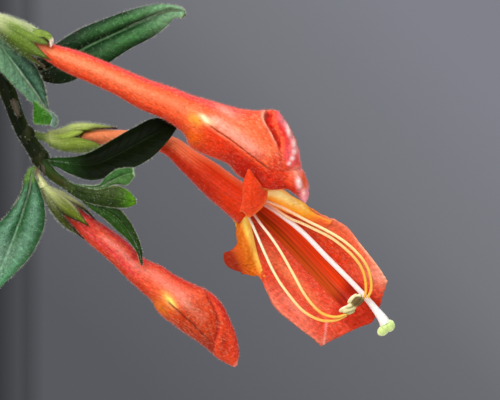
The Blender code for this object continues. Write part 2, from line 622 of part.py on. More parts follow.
FILAMENT_RADIUS = 0.33 * MM
ANTHERS = ((31.0, -5.2, -1.3), (31.7, -3.6, -1.3), (31.9, -2.0, -1.3), (31.6, -0.6, -1.3))
ANTHER_SIZES = (1.4, 1.2, 1.1)
STYLE = ((-1.6, -0.4, 1.4), (5.6, 1.4, 1.8), (13.7, 1.7, 1.8), (23.6, 0.7, 1.6), (31.1, -0.1, 1.2),
         (36.0, -1.0, 0.8), (38.6, -1.9, 0.6))
STYLE_RADIUS = 0.55 * MM
STYLE_END_RADIUS = 0.85 * MM
STIGMA_LOBES = ((39.9, -1.5, 0.6), (39.3, -3.5, 0.6))
STIGMA_RADIUS = 1.25 * MM


def flower_frame(flower):
    """From (along the axis, depth, rise) in a flower to the basket's own frame."""
    origin, fall, _ = flower
    return Matrix.Translation(local(*origin)) @ Matrix.Rotation(math.radians(fall), 4, "Y")


def in_flower(flower, s, rise, depth):
    return flower_frame(flower) @ (MM * Vector((s, depth, rise)))


def corolla_stations(flower):
    stations = []
    for s, rise, shift, width, depth in flower[2]:
        stations.append((in_flower(flower, s, rise, shift), width * MM, depth * MM))
    return stations


def make_flowering_leaf(name, values, material):
    rib, upper_widths, lower_widths, upper_side, lower_side = values
    rows = []
    for place, upper, lower in zip(rib, upper_widths, lower_widths):
        row = []
        for column in LEAF_COLUMNS:
            side = Vector(upper_side if column > 0 else lower_side).normalized()
            width = upper if column > 0 else lower
            row.append(local(*place) + MM * width * abs(column) * side)
        rows.append(row)
    leaf = add_object(name, sheet_mesh(name, rows), material)
    thicken(leaf, BLADE_THICKNESS)
    return leaf


def ball_mesh(name, centre, sizes, frame, segments=8, rings=6):
    cage = bmesh.new()
    bmesh.ops.create_uvsphere(cage, u_segments=segments, v_segments=rings, radius=1.0,
                              matrix=frame @ Matrix.Translation(MM * Vector(centre))
                              @ Matrix.Diagonal((*(MM * size for size in sizes), 1.0)))
    mesh = bpy.data.meshes.new(name)
    cage.to_mesh(mesh)
    cage.free()
    return mesh


def make_open_corolla(material):
    """The open flower: a hollow throat with the hood behind, two side lobes and the bent lip."""
    flower = OPEN_FLOWER
    tube = loft_mesh("corolla_open", corolla_stations(flower), 12, THROAT_WALL, THROAT_FLOOR)
    corolla = add_object("corolla_open", tube, material)
    rows = []
    for s, low, high, middle_depth, edge_depth in HOOD_ROWS:
        row = []
        for column in HOOD_COLUMNS:
            rise = (low + high) / 2 + column * (high - low) / 2
            depth = middle_depth - (middle_depth - edge_depth) * column ** 2
            row.append(in_flower(flower, s, rise, depth))
        rows.append(row)
    hood = add_cutter("hood", sheet_mesh("hood", rows))
    thicken(hood, PETAL_THICKNESS)
    combine(corolla, hood, "UNION")
    flap_rows = [[in_flower(flower, s, rise, depth) for s, depth, rise in row] for row in FLAP_ROWS]
    flap = add_cutter("bent_lip", sheet_mesh("bent_lip", flap_rows))
    thicken(flap, PETAL_THICKNESS)
    combine(corolla, flap, "UNION")
    for side, (centre, sizes) in SIDE_LOBES.items():
        lobe = ball_mesh(f"side_lobe_{side}", centre, sizes, flower_frame(flower))
        combine(corolla, add_cutter(lobe.name, lobe), "UNION")
    return corolla


def make_stamens(material):
    """Four filaments that meet where their anthers join."""
    flower = OPEN_FLOWER
    stamens = None
    for number, points in enumerate(FILAMENTS):
        route = smooth_route([in_flower(flower, *point) for point in points], 2)
        mesh = tube_mesh(f"filament_{number + 1}", route, FILAMENT_RADIUS, 0)
        if stamens is None:
            mesh.name = "stamens"
            stamens = add_object("stamens", mesh, material)
        else:
            combine(stamens, add_cutter(mesh.name, mesh), "UNION")
    for number, (s, rise, depth) in enumerate(ANTHERS):
        anther = ball_mesh(f"anther_{number + 1}", (s, depth, rise), ANTHER_SIZES, flower_frame(flower), 6, 4)
        combine(stamens, add_cutter(anther.name, anther), "UNION")
    return stamens


def make_pistil(material):
    flower = OPEN_FLOWER
    route = smooth_route([in_flower(flower, *point) for point in STYLE], 2)
    swell = len(route) - 3
    radii = [STYLE_RADIUS + (STYLE_END_RADIUS - STYLE_RADIUS) * max(0, i - swell + 1) / 3
             for i in range(len(route))]
    pistil = add_object("pistil", tube_mesh("pistil", route, radii, 1), material)
    for number, (s, rise, depth) in enumerate(STIGMA_LOBES):
        size = STIGMA_RADIUS / MM
        lobe = ball_mesh(f"stigma_lobe_{number + 1}", (s, depth, rise), (size, size, size),
                         flower_frame(flower), 8, 6)
        combine(pistil, add_cutter(lobe.name, lobe), "UNION")
    return pistil


def make_flowering_stem(material):
    """The old stem over the rim to its leaf node, then the young shoot's first stretch."""
    top = RIM_Z - HEADSPACE
    route = smooth_route((
        Vector((0.055, 0, top + GAP)), Vector((0.055, 0, top + ROOT_STRAIGHT)),
        Vector((0.061, 0, RIM_Z + 4 * MM)), Vector((0.076, 0, RIM_Z + 10 * MM)),
        Vector((0.094, 0, RIM_Z + 7 * MM)), Vector((0.112, 0, RIM_Z - 6 * MM)), Vector((0.1275, 0, -0.305)),
        local(-12.4, 0, 31.0), local(-9.0, 0, 19.6), local(-6.8, 0, 13.2), local(-4.2, 0, 6.6), local(0, 0, 0)), 2)
    stem = add_object("flowering_stem", tube_mesh("flowering_stem", route, 1.65 * MM, 1), material)
    young = smooth_route((local(-0.4, 0, 0.8), local(2.2, -2.2, -3.0), local(4.6, -4.2, -4.8),
                          local(7.6, -5.8, -6.8)), 2)
    shoot = tube_mesh("young_shoot", young, [(1.4 - 0.04 * i) * MM for i in range(len(young))], 1)
    combine(stem, add_cutter("young_shoot", shoot), "UNION")
    return stem


def make_flowering_shoot(stem_material, leaf_material, calyx_material, corolla_material, pale_material):
    make_flowering_stem(stem_material)
    for name, values in FLOWERING_LEAVES.items():
        make_flowering_leaf(name, values, leaf_material)
    for name, values in FLOWERING_CALYXES.items():
        stations = [(local(x, y, z), width * MM, depth * MM) for x, y, z, width, depth in values]
        mesh = loft_mesh(name, stations, 10, CALYX_WALL, 2, CALYX_TOOTH)
        add_object(name, mesh, calyx_material)
    for name, flower in (("corolla_upper", UPPER_FLOWER), ("corolla_bud", LOWER_BUD)):
        add_object(name, loft_mesh(name, corolla_stations(flower), 12), corolla_material)
    make_open_corolla(corolla_material)
    make_stamens(pale_material)
    make_pistil(pale_material)


def main():
    clear_scene()
    plastic = finish("moulded polypropylene", (0.30, 0.105, 0.055), 0.45)
    mix = finish("peat and bark potting mix", (0.035, 0.022, 0.014), 0.95)
    steel = finish("zinc plated steel wire", (0.55, 0.56, 0.58), 0.35, 1.0)
    leaves = finish("hairy leaf", (0.045, 0.13, 0.04), 0.6)
    stems = finish("young green stem", (0.06, 0.12, 0.03), 0.6)
    calyxes = finish("pale calyx", (0.32, 0.42, 0.12), 0.6)
    petals = finish("velvety corolla", (0.75, 0.075, 0.02), 0.5)
    pale = finish("waxy style and filaments", (0.85, 0.72, 0.35), 0.4)
    make_pot(plastic)
    make_saucer(plastic)
    make_potting_mix(mix)
    make_hanger(steel, plastic)
    make_plant(leaves, (petals,))
    make_flowering_shoot(stems, leaves, calyxes, petals, pale)
    for thing in parts.objects:
        thing.data.shade_smooth()
        thing.data.set_sharp_from_angle(angle=math.radians(40))


main()
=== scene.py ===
import math

import bpy
import numpy as np
from mathutils import Matrix, Vector


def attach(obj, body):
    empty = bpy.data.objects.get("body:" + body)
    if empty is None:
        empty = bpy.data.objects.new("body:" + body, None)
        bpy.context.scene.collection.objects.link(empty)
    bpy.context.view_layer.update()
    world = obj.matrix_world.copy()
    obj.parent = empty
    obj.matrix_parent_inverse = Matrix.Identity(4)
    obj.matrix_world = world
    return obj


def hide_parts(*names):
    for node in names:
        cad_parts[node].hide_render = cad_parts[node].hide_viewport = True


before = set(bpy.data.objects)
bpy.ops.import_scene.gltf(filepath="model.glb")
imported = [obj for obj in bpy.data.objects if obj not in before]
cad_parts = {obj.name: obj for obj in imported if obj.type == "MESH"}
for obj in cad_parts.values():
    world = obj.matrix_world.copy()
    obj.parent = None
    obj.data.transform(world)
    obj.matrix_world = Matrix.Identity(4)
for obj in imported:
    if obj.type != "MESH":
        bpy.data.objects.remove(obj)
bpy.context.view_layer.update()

# A goldfish plant in a hanging basket. The flowering shoot that reaches out over the rim
# carries the fine detail; the other shoots, the pot and the hanger are finished around it.

mm = 0.001
leafNode = np.array([0.1492, 0.0, -0.355])     # the leaf node on the flowering shoot
seamGap = 0.02                                  # mm within which the edges of a tube are one
rng = np.random.default_rng(7)


# small helpers

def hexToLinear(code):
    parts = [int(code[i:i + 2], 16) / 255 for i in (1, 3, 5)]
    return np.array([p / 12.92 if p <= 0.04045 else ((p + 0.055) / 1.055) ** 2.4 for p in parts])


def rgba(code):
    return (*hexToLinear(code), 1.0)


def ramp(x, low, high):
    t = np.clip((x - low) / (high - low), 0, 1)
    return t * t * (3 - 2 * t)


def bell(x, width):
    return np.exp(-(x / width) ** 2)


def spot(s, n, atS, atN, alongS, alongN, turn=0.0):
    c, d = math.cos(turn), math.sin(turn)
    a = ((s - atS) * c + (n - atN) * d) / alongS
    b = ((n - atN) * c - (s - atS) * d) / alongN
    return np.exp(-a * a - b * b)


def mottle(s, n):
    # uneven patches about a millimetre wide, 0 to 1
    along = np.sin(3.7 * s + 1.9 * n + 1.6 * np.sin(2.9 * n - 1.1 * s))
    return 0.5 + 0.5 * along * np.sin(4.1 * n - 2.3 * s + 1.2 * np.sin(1.7 * s))


def splineWeights(t, count):
    x = np.clip(t, 0, 1) * (count - 1)
    i = np.clip(x.astype(int), 0, count - 2)
    f = x - i
    return i, np.stack([-0.5 * f + f ** 2 - 0.5 * f ** 3, 1 - 2.5 * f ** 2 + 1.5 * f ** 3,
                        0.5 * f + 2 * f ** 2 - 1.5 * f ** 3, -0.5 * f ** 2 + 0.5 * f ** 3], 1)


def smoothAt(points, t):
    # a smooth curve through all the points, read at each share t
    p = np.asarray(points, float)
    ends = np.concatenate([2 * p[:1] - p[1:2], p, 2 * p[-1:] - p[-2:-1]])
    i, w = splineWeights(np.asarray(t, float), len(p))
    return np.einsum("mk,mk...->m...", w, np.stack([ends[i + k] for k in range(4)], 1))


def smoothAcross(lines, u):
    # the same across a net: each vertex has its own row of points
    ends = np.concatenate([2 * lines[:, :1] - lines[:, 1:2], lines, 2 * lines[:, -1:] - lines[:, -2:-1]], 1)
    i, w = splineWeights(u, lines.shape[1])
    rows = np.arange(len(u))
    return np.einsum("mk,mkd->md", w, np.stack([ends[rows, i + k] for k in range(4)], 1))


def unit(way):
    return way / np.linalg.norm(way)


def polar(radius, azimuth, z):
    return (radius * math.cos(math.radians(azimuth)), radius * math.sin(math.radians(azimuth)), z)


def evenRoute(points, count):
    # points at even steps along the smooth curve through the given points
    fine = smoothAt(points, np.linspace(0, 1, 400))
    walk = np.concatenate([[0], np.cumsum(np.linalg.norm(np.diff(fine, axis=0), axis=1))])
    steps = np.linspace(0, walk[-1], count)
    return np.stack([np.interp(steps, walk, fine[:, k]) for k in range(3)], 1), walk[-1]


def deselect():
    bpy.ops.object.select_all(action="DESELECT")


def activate(*things):
    deselect()
    for thing in things:
        thing.select_set(True)
    bpy.context.view_layer.objects.active = things[0]


def edit(thing, *steps):
    # mesh operators in edit mode, each on the whole mesh
    activate(thing)
    bpy.ops.object.mode_set(mode="EDIT")
    for operator, settings in steps:
        bpy.ops.mesh.select_all(action="SELECT")
        operator(**settings)
    bpy.ops.object.mode_set(mode="OBJECT")


def readVectors(items, attribute):
    flat = np.empty(3 * len(items))
    items.foreach_get(attribute, flat)
    return flat.reshape(-1, 3)


def getSpots(thing):
    return readVectors(thing.data.vertices, "co")


def getNormals(thing):
    return readVectors(thing.data.vertex_normals, "vector")


def setSpots(thing, spots):
    thing.data.vertices.foreach_set("co", np.asarray(spots, float).ravel())
    thing.data.update()


def addObject(name, data):
    thing = bpy.data.objects.new(name, data)
    bpy.context.scene.collection.objects.link(thing)
    return thing


def addBall(around, rings):
    deselect()
    bpy.ops.mesh.primitive_uv_sphere_add(segments=around, ring_count=rings, radius=1.0, location=(0, 0, 0))
    return bpy.context.object


def layGrid(name, across, along, shape):
    # a flat grid primitive, each vertex then laid where shape(u, v) says, in metres
    deselect()
    bpy.ops.mesh.primitive_grid_add(x_subdivisions=across, y_subdivisions=along, size=1, location=(0, 0, 0))
    thing = bpy.context.object
    thing.name = thing.data.name = name
    flat = getSpots(thing)
    u, v = flat[:, 0] + 0.5, flat[:, 1] + 0.5
    setSpots(thing, shape(u, v))
    return thing, u, v


def swell(thing, amount, outward=1.0):
    # moves the surface along its own normals, amount in mm
    setSpots(thing, getSpots(thing) + getNormals(thing) * (outward * mm * amount)[:, None])


def paint(thing, ground, *coats):
    # a ground colour, and coats over it: each a colour and how much of it every vertex takes
    colours = np.tile(hexToLinear(ground), (len(thing.data.vertices), 1))
    for code, amount in coats:
        amount = np.clip(amount, 0, 1)[:, None]
        colours = colours * (1 - amount) + hexToLinear(code) * amount
    layer = thing.data.color_attributes.new("tint", "FLOAT_COLOR", "POINT")
    full = np.ones((len(colours), 4))
    full[:, :3] = np.clip(colours, 0, 1)
    layer.data.foreach_set("color", full.ravel())


def mark(thing, **amounts):
    # what the materials read at each vertex, 0 to 1
    for name, amount in amounts.items():
        layer = thing.data.attributes.new(name, "FLOAT", "POINT")
        amount = np.clip(np.asarray(amount, float) + np.zeros(len(thing.data.vertices)), 0, 1)
        layer.data.foreach_set("value", amount)


def weld(thing, distance=seamGap * mm):
    edit(thing, (bpy.ops.mesh.remove_doubles, {"threshold": distance}),
         (bpy.ops.mesh.normals_make_consistent, {"inside": False}))


def faceTowards(thing, towards):
    # turns an open sheet over if its front lies the wrong way
    if (getNormals(thing) @ np.asarray(towards, float)).mean() < 0:
        edit(thing, (bpy.ops.mesh.flip_normals, {}))


def applyModifier(thing, kind, **settings):
    activate(thing)
    modifier = thing.modifiers.new(kind.title(), kind)
    for key, value in settings.items():
        setattr(modifier, key, value)
    bpy.ops.object.modifier_apply(modifier=modifier.name)


def cutAway(thing, cutter):
    applyModifier(thing, "BOOLEAN", operation="DIFFERENCE", solver="EXACT", object=cutter)
    bpy.data.objects.remove(cutter, do_unlink=True)


def smooth(thing):
    activate(thing)
    bpy.ops.object.shade_smooth()


def joinAll(first, others):
    activate(first, *others)
    bpy.ops.object.join()
    return first


def dress(thing, material):
    thing.data.materials.clear()
    thing.data.materials.append(material)


def dressSkin(thing, material, thickness=None):
    # a sheet gets its thickness in mm, a closed tube has its seam and ends welded
    if thickness:
        applyModifier(thing, "SOLIDIFY", thickness=thickness * mm, offset=-1.0, use_even_offset=False)
    else:
        weld(thing)
    smooth(thing)
    dress(thing, material)


def finishPiece(thing, nodes):
    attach(thing, "root")
    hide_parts(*nodes)


def finishMoulding(thing, material, nodes):
    # hard pieces keep their edges crisp
    activate(thing)
    bpy.ops.object.shade_smooth_by_angle(angle=math.radians(32))
    dress(thing, material)
    finishPiece(thing, nodes)


def tubeRows(along):
    # where each row of a tube stands, 0 to 1, and its swelling: the end rows close to a point
    closed = np.ones(along + 1)
    closed[0] = closed[along] = 0.0
    return np.clip((np.arange(along + 1) - 1) / (along - 2), 0, 1), closed


def tubeGrid(name, points, radii, around, along):
    # a closed round tube along a smooth curve through the points, in metres
    def shape(u, v):
        row = np.rint(v * along).astype(int)
        t, closed = tubeRows(along)
        centre = smoothAt(points, t)
        size = closed * (smoothAt(np.asarray(radii, float)[:, None], t)[:, 0] if np.ndim(radii) else radii)
        ahead = smoothAt(points, np.clip(t + 1e-3, 0, 1)) - smoothAt(points, np.clip(t - 1e-3, 0, 1))
        ahead /= np.linalg.norm(ahead, axis=1)[:, None]
        side = np.empty_like(ahead)
        side[0] = unit(np.cross(ahead[0], (0, 1, 0) if abs(ahead[0][1]) < 0.9 else (1, 0, 0)))
        for k in range(1, along + 1):
            side[k] = unit(side[k - 1] - ahead[k] * (side[k - 1] @ ahead[k]))
        other = np.cross(ahead, side)
        a = 2 * math.pi * u
        return centre[row] + size[row, None] * (np.cos(a)[:, None] * side[row]
                                                + np.sin(a)[:, None] * other[row])
    return layGrid(name, around, along, shape)


def spunPiece(name, profile, steps=128):
    # a ring of profile points (radius, height) in metres, spun about Z and welded
    deselect()
    bpy.ops.mesh.primitive_circle_add(vertices=len(profile), radius=1, fill_type="NOTHING",
                                      location=(0, 0, 0))
    thing = bpy.context.object
    thing.name = thing.data.name = name
    setSpots(thing, [(radius, 0, z) for radius, z in profile])
    turn = {"steps": steps, "angle": 2 * math.pi, "center": (0, 0, 0), "axis": (0, 0, 1)}
    edit(thing, (bpy.ops.mesh.spin, turn), (bpy.ops.mesh.remove_doubles, {"threshold": 0.005 * mm}),
         (bpy.ops.mesh.delete_loose, {}), (bpy.ops.mesh.normals_make_consistent, {"inside": False}))
    return thing


def cutHole(thing, place, radius, depth):
    deselect()
    bpy.ops.mesh.primitive_cylinder_add(vertices=32, radius=radius, depth=depth, location=place)
    cutAway(thing, bpy.context.object)


# materials

multiply = {"data_type": "RGBA", "blend_type": "MULTIPLY", 0: 1.0}      # one colour times another


def newMaterial(name, roughness, **sockets):
    material = bpy.data.materials.new(name)
    material.use_nodes = True
    shader = material.node_tree.nodes["Principled BSDF"]
    for key, value in {"Roughness": roughness, **sockets}.items():
        shader.inputs[key].default_value = value
    return material, material.node_tree


def finishMaterial(material, **sockets):
    shader = material.node_tree.nodes["Principled BSDF"]
    for key, source in sockets.items():
        material.node_tree.links.new(source, shader.inputs[key])
    return material


def addNode(tree, kind, settings, out=None, **links):
    # settings: attributes, ramp stops, sockets by name or number; links: sockets by name or as i0, i1
    node = tree.nodes.new("ShaderNode" + kind)
    for key, value in settings.items():
        if key == "stops":
            bar = node.color_ramp.elements
            while len(bar) < len(value):
                bar.new(0.5)
            for element, (position, tone) in zip(bar, value):
                element.position = position
                element.color = rgba(tone) if isinstance(tone, str) else (tone, tone, tone, 1.0)
        elif isinstance(key, int) or (key in node.inputs and not hasattr(node, key)):
            node.inputs[key].default_value = rgba(value) if isinstance(value, str) else value
        else:
            setattr(node, key, value)
    for key, source in links.items():
        tree.links.new(source, node.inputs[int(key[1:]) if key[1:].isdigit() else key])
    return node if out is None else node.outputs[out]


def petalVelvet():
    # Living petal, a thin skin of domed cells with short glands: soft gloss, a little light through it,
    # fine dark flecks, painted pale glints (highlights on the hairs) and a painted emission that lifts
    # shade.
    look = {"fleck": 0.40, "patch": 1.6, "glint": 0.48, "wash": 0.50, "grain": 0.24, "grainDepth": 0.07,
            "crinkle": 0.50, "crinkleDepth": 0.20, "stretch": 2.1, "run": math.radians(32), "paintedGlow": 0.24,
            "darkFleck": "#b81a06", "paleGlint": "#ffc49c"}
    material, tree = newMaterial("velvety flower petal", 0.46, **{
        "Subsurface Weight": 0.10, "Subsurface Radius": (0.0016, 0.0005, 0.0002),
        "Specular IOR Level": 0.09,
    })
    tint = addNode(tree, "Attribute", {"attribute_name": "tint"}, "Color")
    # plain: evens out the mottling and sets the painted emission that lifts parts out of shade
    plain = addNode(tree, "Attribute", {"attribute_name": "plain"}, "Fac")
    wet = addNode(tree, "Attribute", {"attribute_name": "wet"}, "Fac")
    place = addNode(tree, "TexCoord", {}, "Object")
    drawn = addNode(tree, "Mapping", {"vector_type": "TEXTURE", "Rotation": (0, look["run"], 0),
                                      "Scale": (look["stretch"], 1, 1)}, 0, Vector=place)
    flecks = addNode(tree, "TexVoronoi", {"Scale": 1 / (look["fleck"] * mm), "Randomness": 1.0}, "Distance",
                     Vector=drawn)
    dark = addNode(tree, "ValToRGB", {"stops": ((0.10, 1.0), (0.26, 0.0))}, 0, i0=flecks)
    patches = addNode(tree, "TexNoise", {"Scale": 1 / (look["patch"] * mm), "Detail": 2.0}, "Fac",
                      Vector=place)
    where = addNode(tree, "ValToRGB", {"stops": ((0.36, 0.0), (0.60, 0.45))}, 0, i0=patches)
    dark = addNode(tree, "Math", {"operation": "MULTIPLY"}, 0, i0=dark, i1=where)
    kept = addNode(tree, "Math", {"operation": "SUBTRACT", 0: 1.0}, 0, i1=plain)
    dark = addNode(tree, "Math", {"operation": "MULTIPLY"}, 0, i0=dark, i1=kept)
    # painted pale glints, highlights standing for light on the hairs, as much as the downy mark sets
    glints = addNode(tree, "TexNoise", {"Scale": 1 / (look["glint"] * mm), "Detail": 5.0, "Roughness": 0.8},
                     "Fac", Vector=drawn)
    dots = addNode(tree, "ValToRGB", {"stops": ((0.50, 0.0), (0.66, 0.9))}, 0, i0=glints)
    pale = addNode(tree, "Math", {"operation": "MULTIPLY"}, 0, i0=dots,
                   i1=addNode(tree, "Attribute", {"attribute_name": "downy"}, "Fac"))
    wash = addNode(tree, "TexNoise", {"Scale": 1 / (look["wash"] * mm), "Detail": 4.0, "Roughness": 0.75},
                   "Fac", Vector=drawn)
    uneven = addNode(tree, "ValToRGB", {"stops": ((0.32, 0.68), (0.68, 1.32))}, 0, i0=wash)
    uneven = addNode(tree, "Mix", {"data_type": "RGBA", 7: "#ffffff"}, 2, i0=plain, i6=uneven)
    shaded = addNode(tree, "Mix", multiply, 2, i6=tint, i7=uneven)
    flecked = addNode(tree, "Mix", {"data_type": "RGBA", 7: look["darkFleck"]}, 2, i0=dark, i6=shaded)
    glint = addNode(tree, "Mix", {"data_type": "RGBA", 0: 0.42, 7: look["paleGlint"]}, 2, i6=shaded)
    colour = addNode(tree, "Mix", {"data_type": "RGBA"}, 2, i0=pale, i6=flecked, i7=glint)
    # painted light: emission that brightens shaded parts where the plain mark is set
    paintedGlow = addNode(tree, "Math", {"operation": "MULTIPLY", 1: look["paintedGlow"]}, 0, i0=plain)
    grain = addNode(tree, "TexVoronoi", {"Scale": 1 / (look["grain"] * mm)}, "Distance", Vector=place)
    crinkle = addNode(tree, "TexNoise",
                      {"Scale": 1 / (look["crinkle"] * mm), "Detail": 4.0, "Roughness": 0.6},
                      "Fac", Vector=drawn)
    folds = addNode(tree, "Bump", {"Strength": 0.7, "Distance": look["crinkleDepth"] * mm}, 0,
                    Height=crinkle)
    bump = addNode(tree, "Bump", {"Strength": 0.6, "Distance": look["grainDepth"] * mm}, 0, Height=grain,
                   Normal=folds)
    gloss = addNode(tree, "ValToRGB", {"stops": ((0.0, 0.55), (1.0, 0.14))}, 0, i0=wet)
    return finishMaterial(material, **{"Base Color": colour, "Emission Color": colour,
                                       "Emission Strength": paintedGlow, "Normal": bump, "Roughness": gloss})


def satinChannel():
    # The smooth floor of the hood: the same petal without glands, streaked along its length.
    material, tree = newMaterial("satin petal floor", 0.36, **{
        "Subsurface Weight": 0.08, "Subsurface Radius": (0.0016, 0.0005, 0.0002),
        "Specular IOR Level": 0.12,
    })
    surface = addNode(tree, "UVMap", {}, "UV")
    drawn = addNode(tree, "Mapping", {"Scale": (46.0, 2.0, 1.0)}, 0, Vector=surface)
    streaks = addNode(tree, "TexNoise", {"Scale": 1.0, "Detail": 3.0}, "Fac", Vector=drawn)
    band = addNode(tree, "ValToRGB", {"stops": ((0.34, 0.60), (0.64, 1.24))}, 0, i0=streaks)
    colour = addNode(tree, "Mix", multiply, 2,
                     i6=addNode(tree, "Attribute", {"attribute_name": "tint"}, "Color"), i7=band)
    bump = addNode(tree, "Bump", {"Strength": 0.3, "Distance": 0.05 * mm}, 0, Height=streaks)
    return finishMaterial(material, **{"Base Color": colour, "Normal": bump})


def leafBlade(name, widthMm, lengthMm, gloss=0.10, veinTint=1.30, glintTint=2.2):
    # Leathery, softly hairy leaf: side veins every 2.5 mm, a mottled green with a cool waxy sheen,
    # and painted pale glints (highlights) in its fine cells.
    veinStep = 2.5
    material, tree = newMaterial(name, 0.48, **{
        "Specular IOR Level": gloss, "Subsurface Weight": 0.04,
        "Subsurface Radius": (0.0004, 0.0010, 0.0002),
    })
    place = addNode(tree, "TexCoord", {}, "Object")
    split = addNode(tree, "SeparateXYZ", {}, Vector=addNode(tree, "UVMap", {}, "UV"))
    away = addNode(tree, "Math", {"operation": "SUBTRACT", 1: 0.5}, 0, i0=split.outputs[0])
    away = addNode(tree, "Math", {"operation": "ABSOLUTE"}, 0, i0=away)
    lean = addNode(tree, "Math", {"operation": "MULTIPLY", 1: -widthMm / 2.4}, 0, i0=away)
    run = addNode(tree, "Math", {"operation": "MULTIPLY_ADD", 1: lengthMm / veinStep}, 0,
                  i0=split.outputs[1], i2=lean)
    vein = addNode(tree, "Math", {"operation": "PINGPONG", 1: 0.5}, 0, i0=run)
    veinLine = addNode(tree, "ValToRGB", {"stops": ((0.0, 0.0), (0.14, 1.0))}, 0, i0=vein)
    patches = addNode(tree, "TexNoise", {"Scale": 1 / (0.9 * mm), "Detail": 5.0, "Roughness": 0.72}, "Fac",
                      Vector=place)
    cells = addNode(tree, "TexVoronoi", {"Scale": 1 / (0.34 * mm)}, "Distance", Vector=place)
    colour = addNode(tree, "Attribute", {"attribute_name": "tint"}, "Color")
    # the fine cells brighten into painted glints
    for source, stops in ((patches, ((0.32, 0.55), (0.68, 1.42))), (cells, ((0.08, glintTint), (0.26, 0.95))),
                          (vein, ((0.0, veinTint), (0.10, 1.0)))):
        shade = addNode(tree, "ValToRGB", {"stops": stops}, 0, i0=source)
        colour = addNode(tree, "Mix", multiply, 2, i6=colour, i7=shade)
    ridges = addNode(tree, "Bump", {"Strength": 0.45, "Distance": 0.12 * mm}, 0, Height=veinLine)
    fine = addNode(tree, "Bump", {"Strength": 0.4, "Distance": 0.05 * mm}, 0, Height=cells, Normal=ridges)
    return finishMaterial(material, **{"Base Color": colour, "Normal": fine})


def downyGreen(name):
    # Soft green tissue under fine down: painted pale glints where hairs stand, and long faint ribs.
    material, tree = newMaterial(name, 0.55, **{
        "Specular IOR Level": 0.10, "Subsurface Weight": 0.08,
        "Subsurface Radius": (0.0007, 0.0010, 0.0002),
    })
    place = addNode(tree, "TexCoord", {}, "Object")
    surface = addNode(tree, "UVMap", {}, "UV")
    drawn = addNode(tree, "Mapping", {"Scale": (14.0, 3.0, 1.0)}, 0, Vector=surface)
    ribs = addNode(tree, "TexNoise", {"Scale": 1.0, "Detail": 3.0}, "Fac", Vector=drawn)
    cells = addNode(tree, "TexVoronoi", {"Scale": 1 / (0.40 * mm)}, "Distance", Vector=place)
    colour = addNode(tree, "Attribute", {"attribute_name": "tint"}, "Color")
    for source, stops in ((ribs, ((0.30, 0.66), (0.70, 1.25))), (cells, ((0.08, 1.8), (0.28, 0.95)))):
        shade = addNode(tree, "ValToRGB", {"stops": stops}, 0, i0=source)
        colour = addNode(tree, "Mix", multiply, 2, i6=colour, i7=shade)
    ridges = addNode(tree, "Bump", {"Strength": 0.5, "Distance": 0.07 * mm}, 0, Height=ribs)
    fine = addNode(tree, "Bump", {"Strength": 0.4, "Distance": 0.05 * mm}, 0, Height=cells, Normal=ridges)
    return finishMaterial(material, **{"Base Color": colour, "Normal": fine})


def plantHair(name, low, high):
    # Clear, glassy plant hairs: pale, slightly see-through, catching the light at their tips.
    material, tree = newMaterial(name, 0.40, **{"Specular IOR Level": 0.4})
    place = addNode(tree, "TexCoord", {}, "Object")
    noise = addNode(tree, "TexNoise", {"Scale": 1 / (0.8 * mm)}, "Fac", Vector=place)
    colour = addNode(tree, "ValToRGB", {"stops": ((0.3, low), (0.7, high))}, 0, i0=noise)
    return finishMaterial(material, **{"Base Color": colour})


def waxyStalk():
    # Style and filaments: smooth watery tissue, waxy and a little see-through.
    material, tree = newMaterial("waxy style and filaments", 0.34, **{
        "Subsurface Weight": 0.2, "Subsurface Radius": (0.0010, 0.0007, 0.0004), "Coat Weight": 0.1})
    place = addNode(tree, "TexCoord", {}, "Object")
    noise = addNode(tree, "TexNoise", {"Scale": 1 / (0.5 * mm), "Detail": 3.0}, "Fac", Vector=place)
    uneven = addNode(tree, "ValToRGB", {"stops": ((0.3, 0.90), (0.7, 1.06))}, 0, i0=noise)
    colour = addNode(tree, "Mix", multiply, 2,
                     i6=addNode(tree, "Attribute", {"attribute_name": "tint"}, "Color"), i7=uneven)
    bump = addNode(tree, "Bump", {"Strength": 0.3, "Distance": 0.03 * mm}, 0, Height=noise)
    return finishMaterial(material, **{"Base Color": colour, "Normal": bump})


def pollenGrain():
    # Anthers: dry papery sacs dusted with pollen, drawn in clumps of 0.16 mm so that they show.
    material, tree = newMaterial("pollen dusted anther", 0.75)
    place = addNode(tree, "TexCoord", {}, "Object")
    grains = addNode(tree, "TexVoronoi", {"Scale": 1 / (0.16 * mm)}, "Distance", Vector=place)
    dust = addNode(tree, "ValToRGB", {"stops": ((0.1, 1.15), (0.5, 0.75))}, 0, i0=grains)
    colour = addNode(tree, "Mix", multiply, 2,
                     i6=addNode(tree, "Attribute", {"attribute_name": "tint"}, "Color"), i7=dust)
    bump = addNode(tree, "Bump", {"Strength": 0.4, "Distance": 0.04 * mm}, 0, Height=grains)
    return finishMaterial(material, **{"Base Color": colour, "Normal": bump})


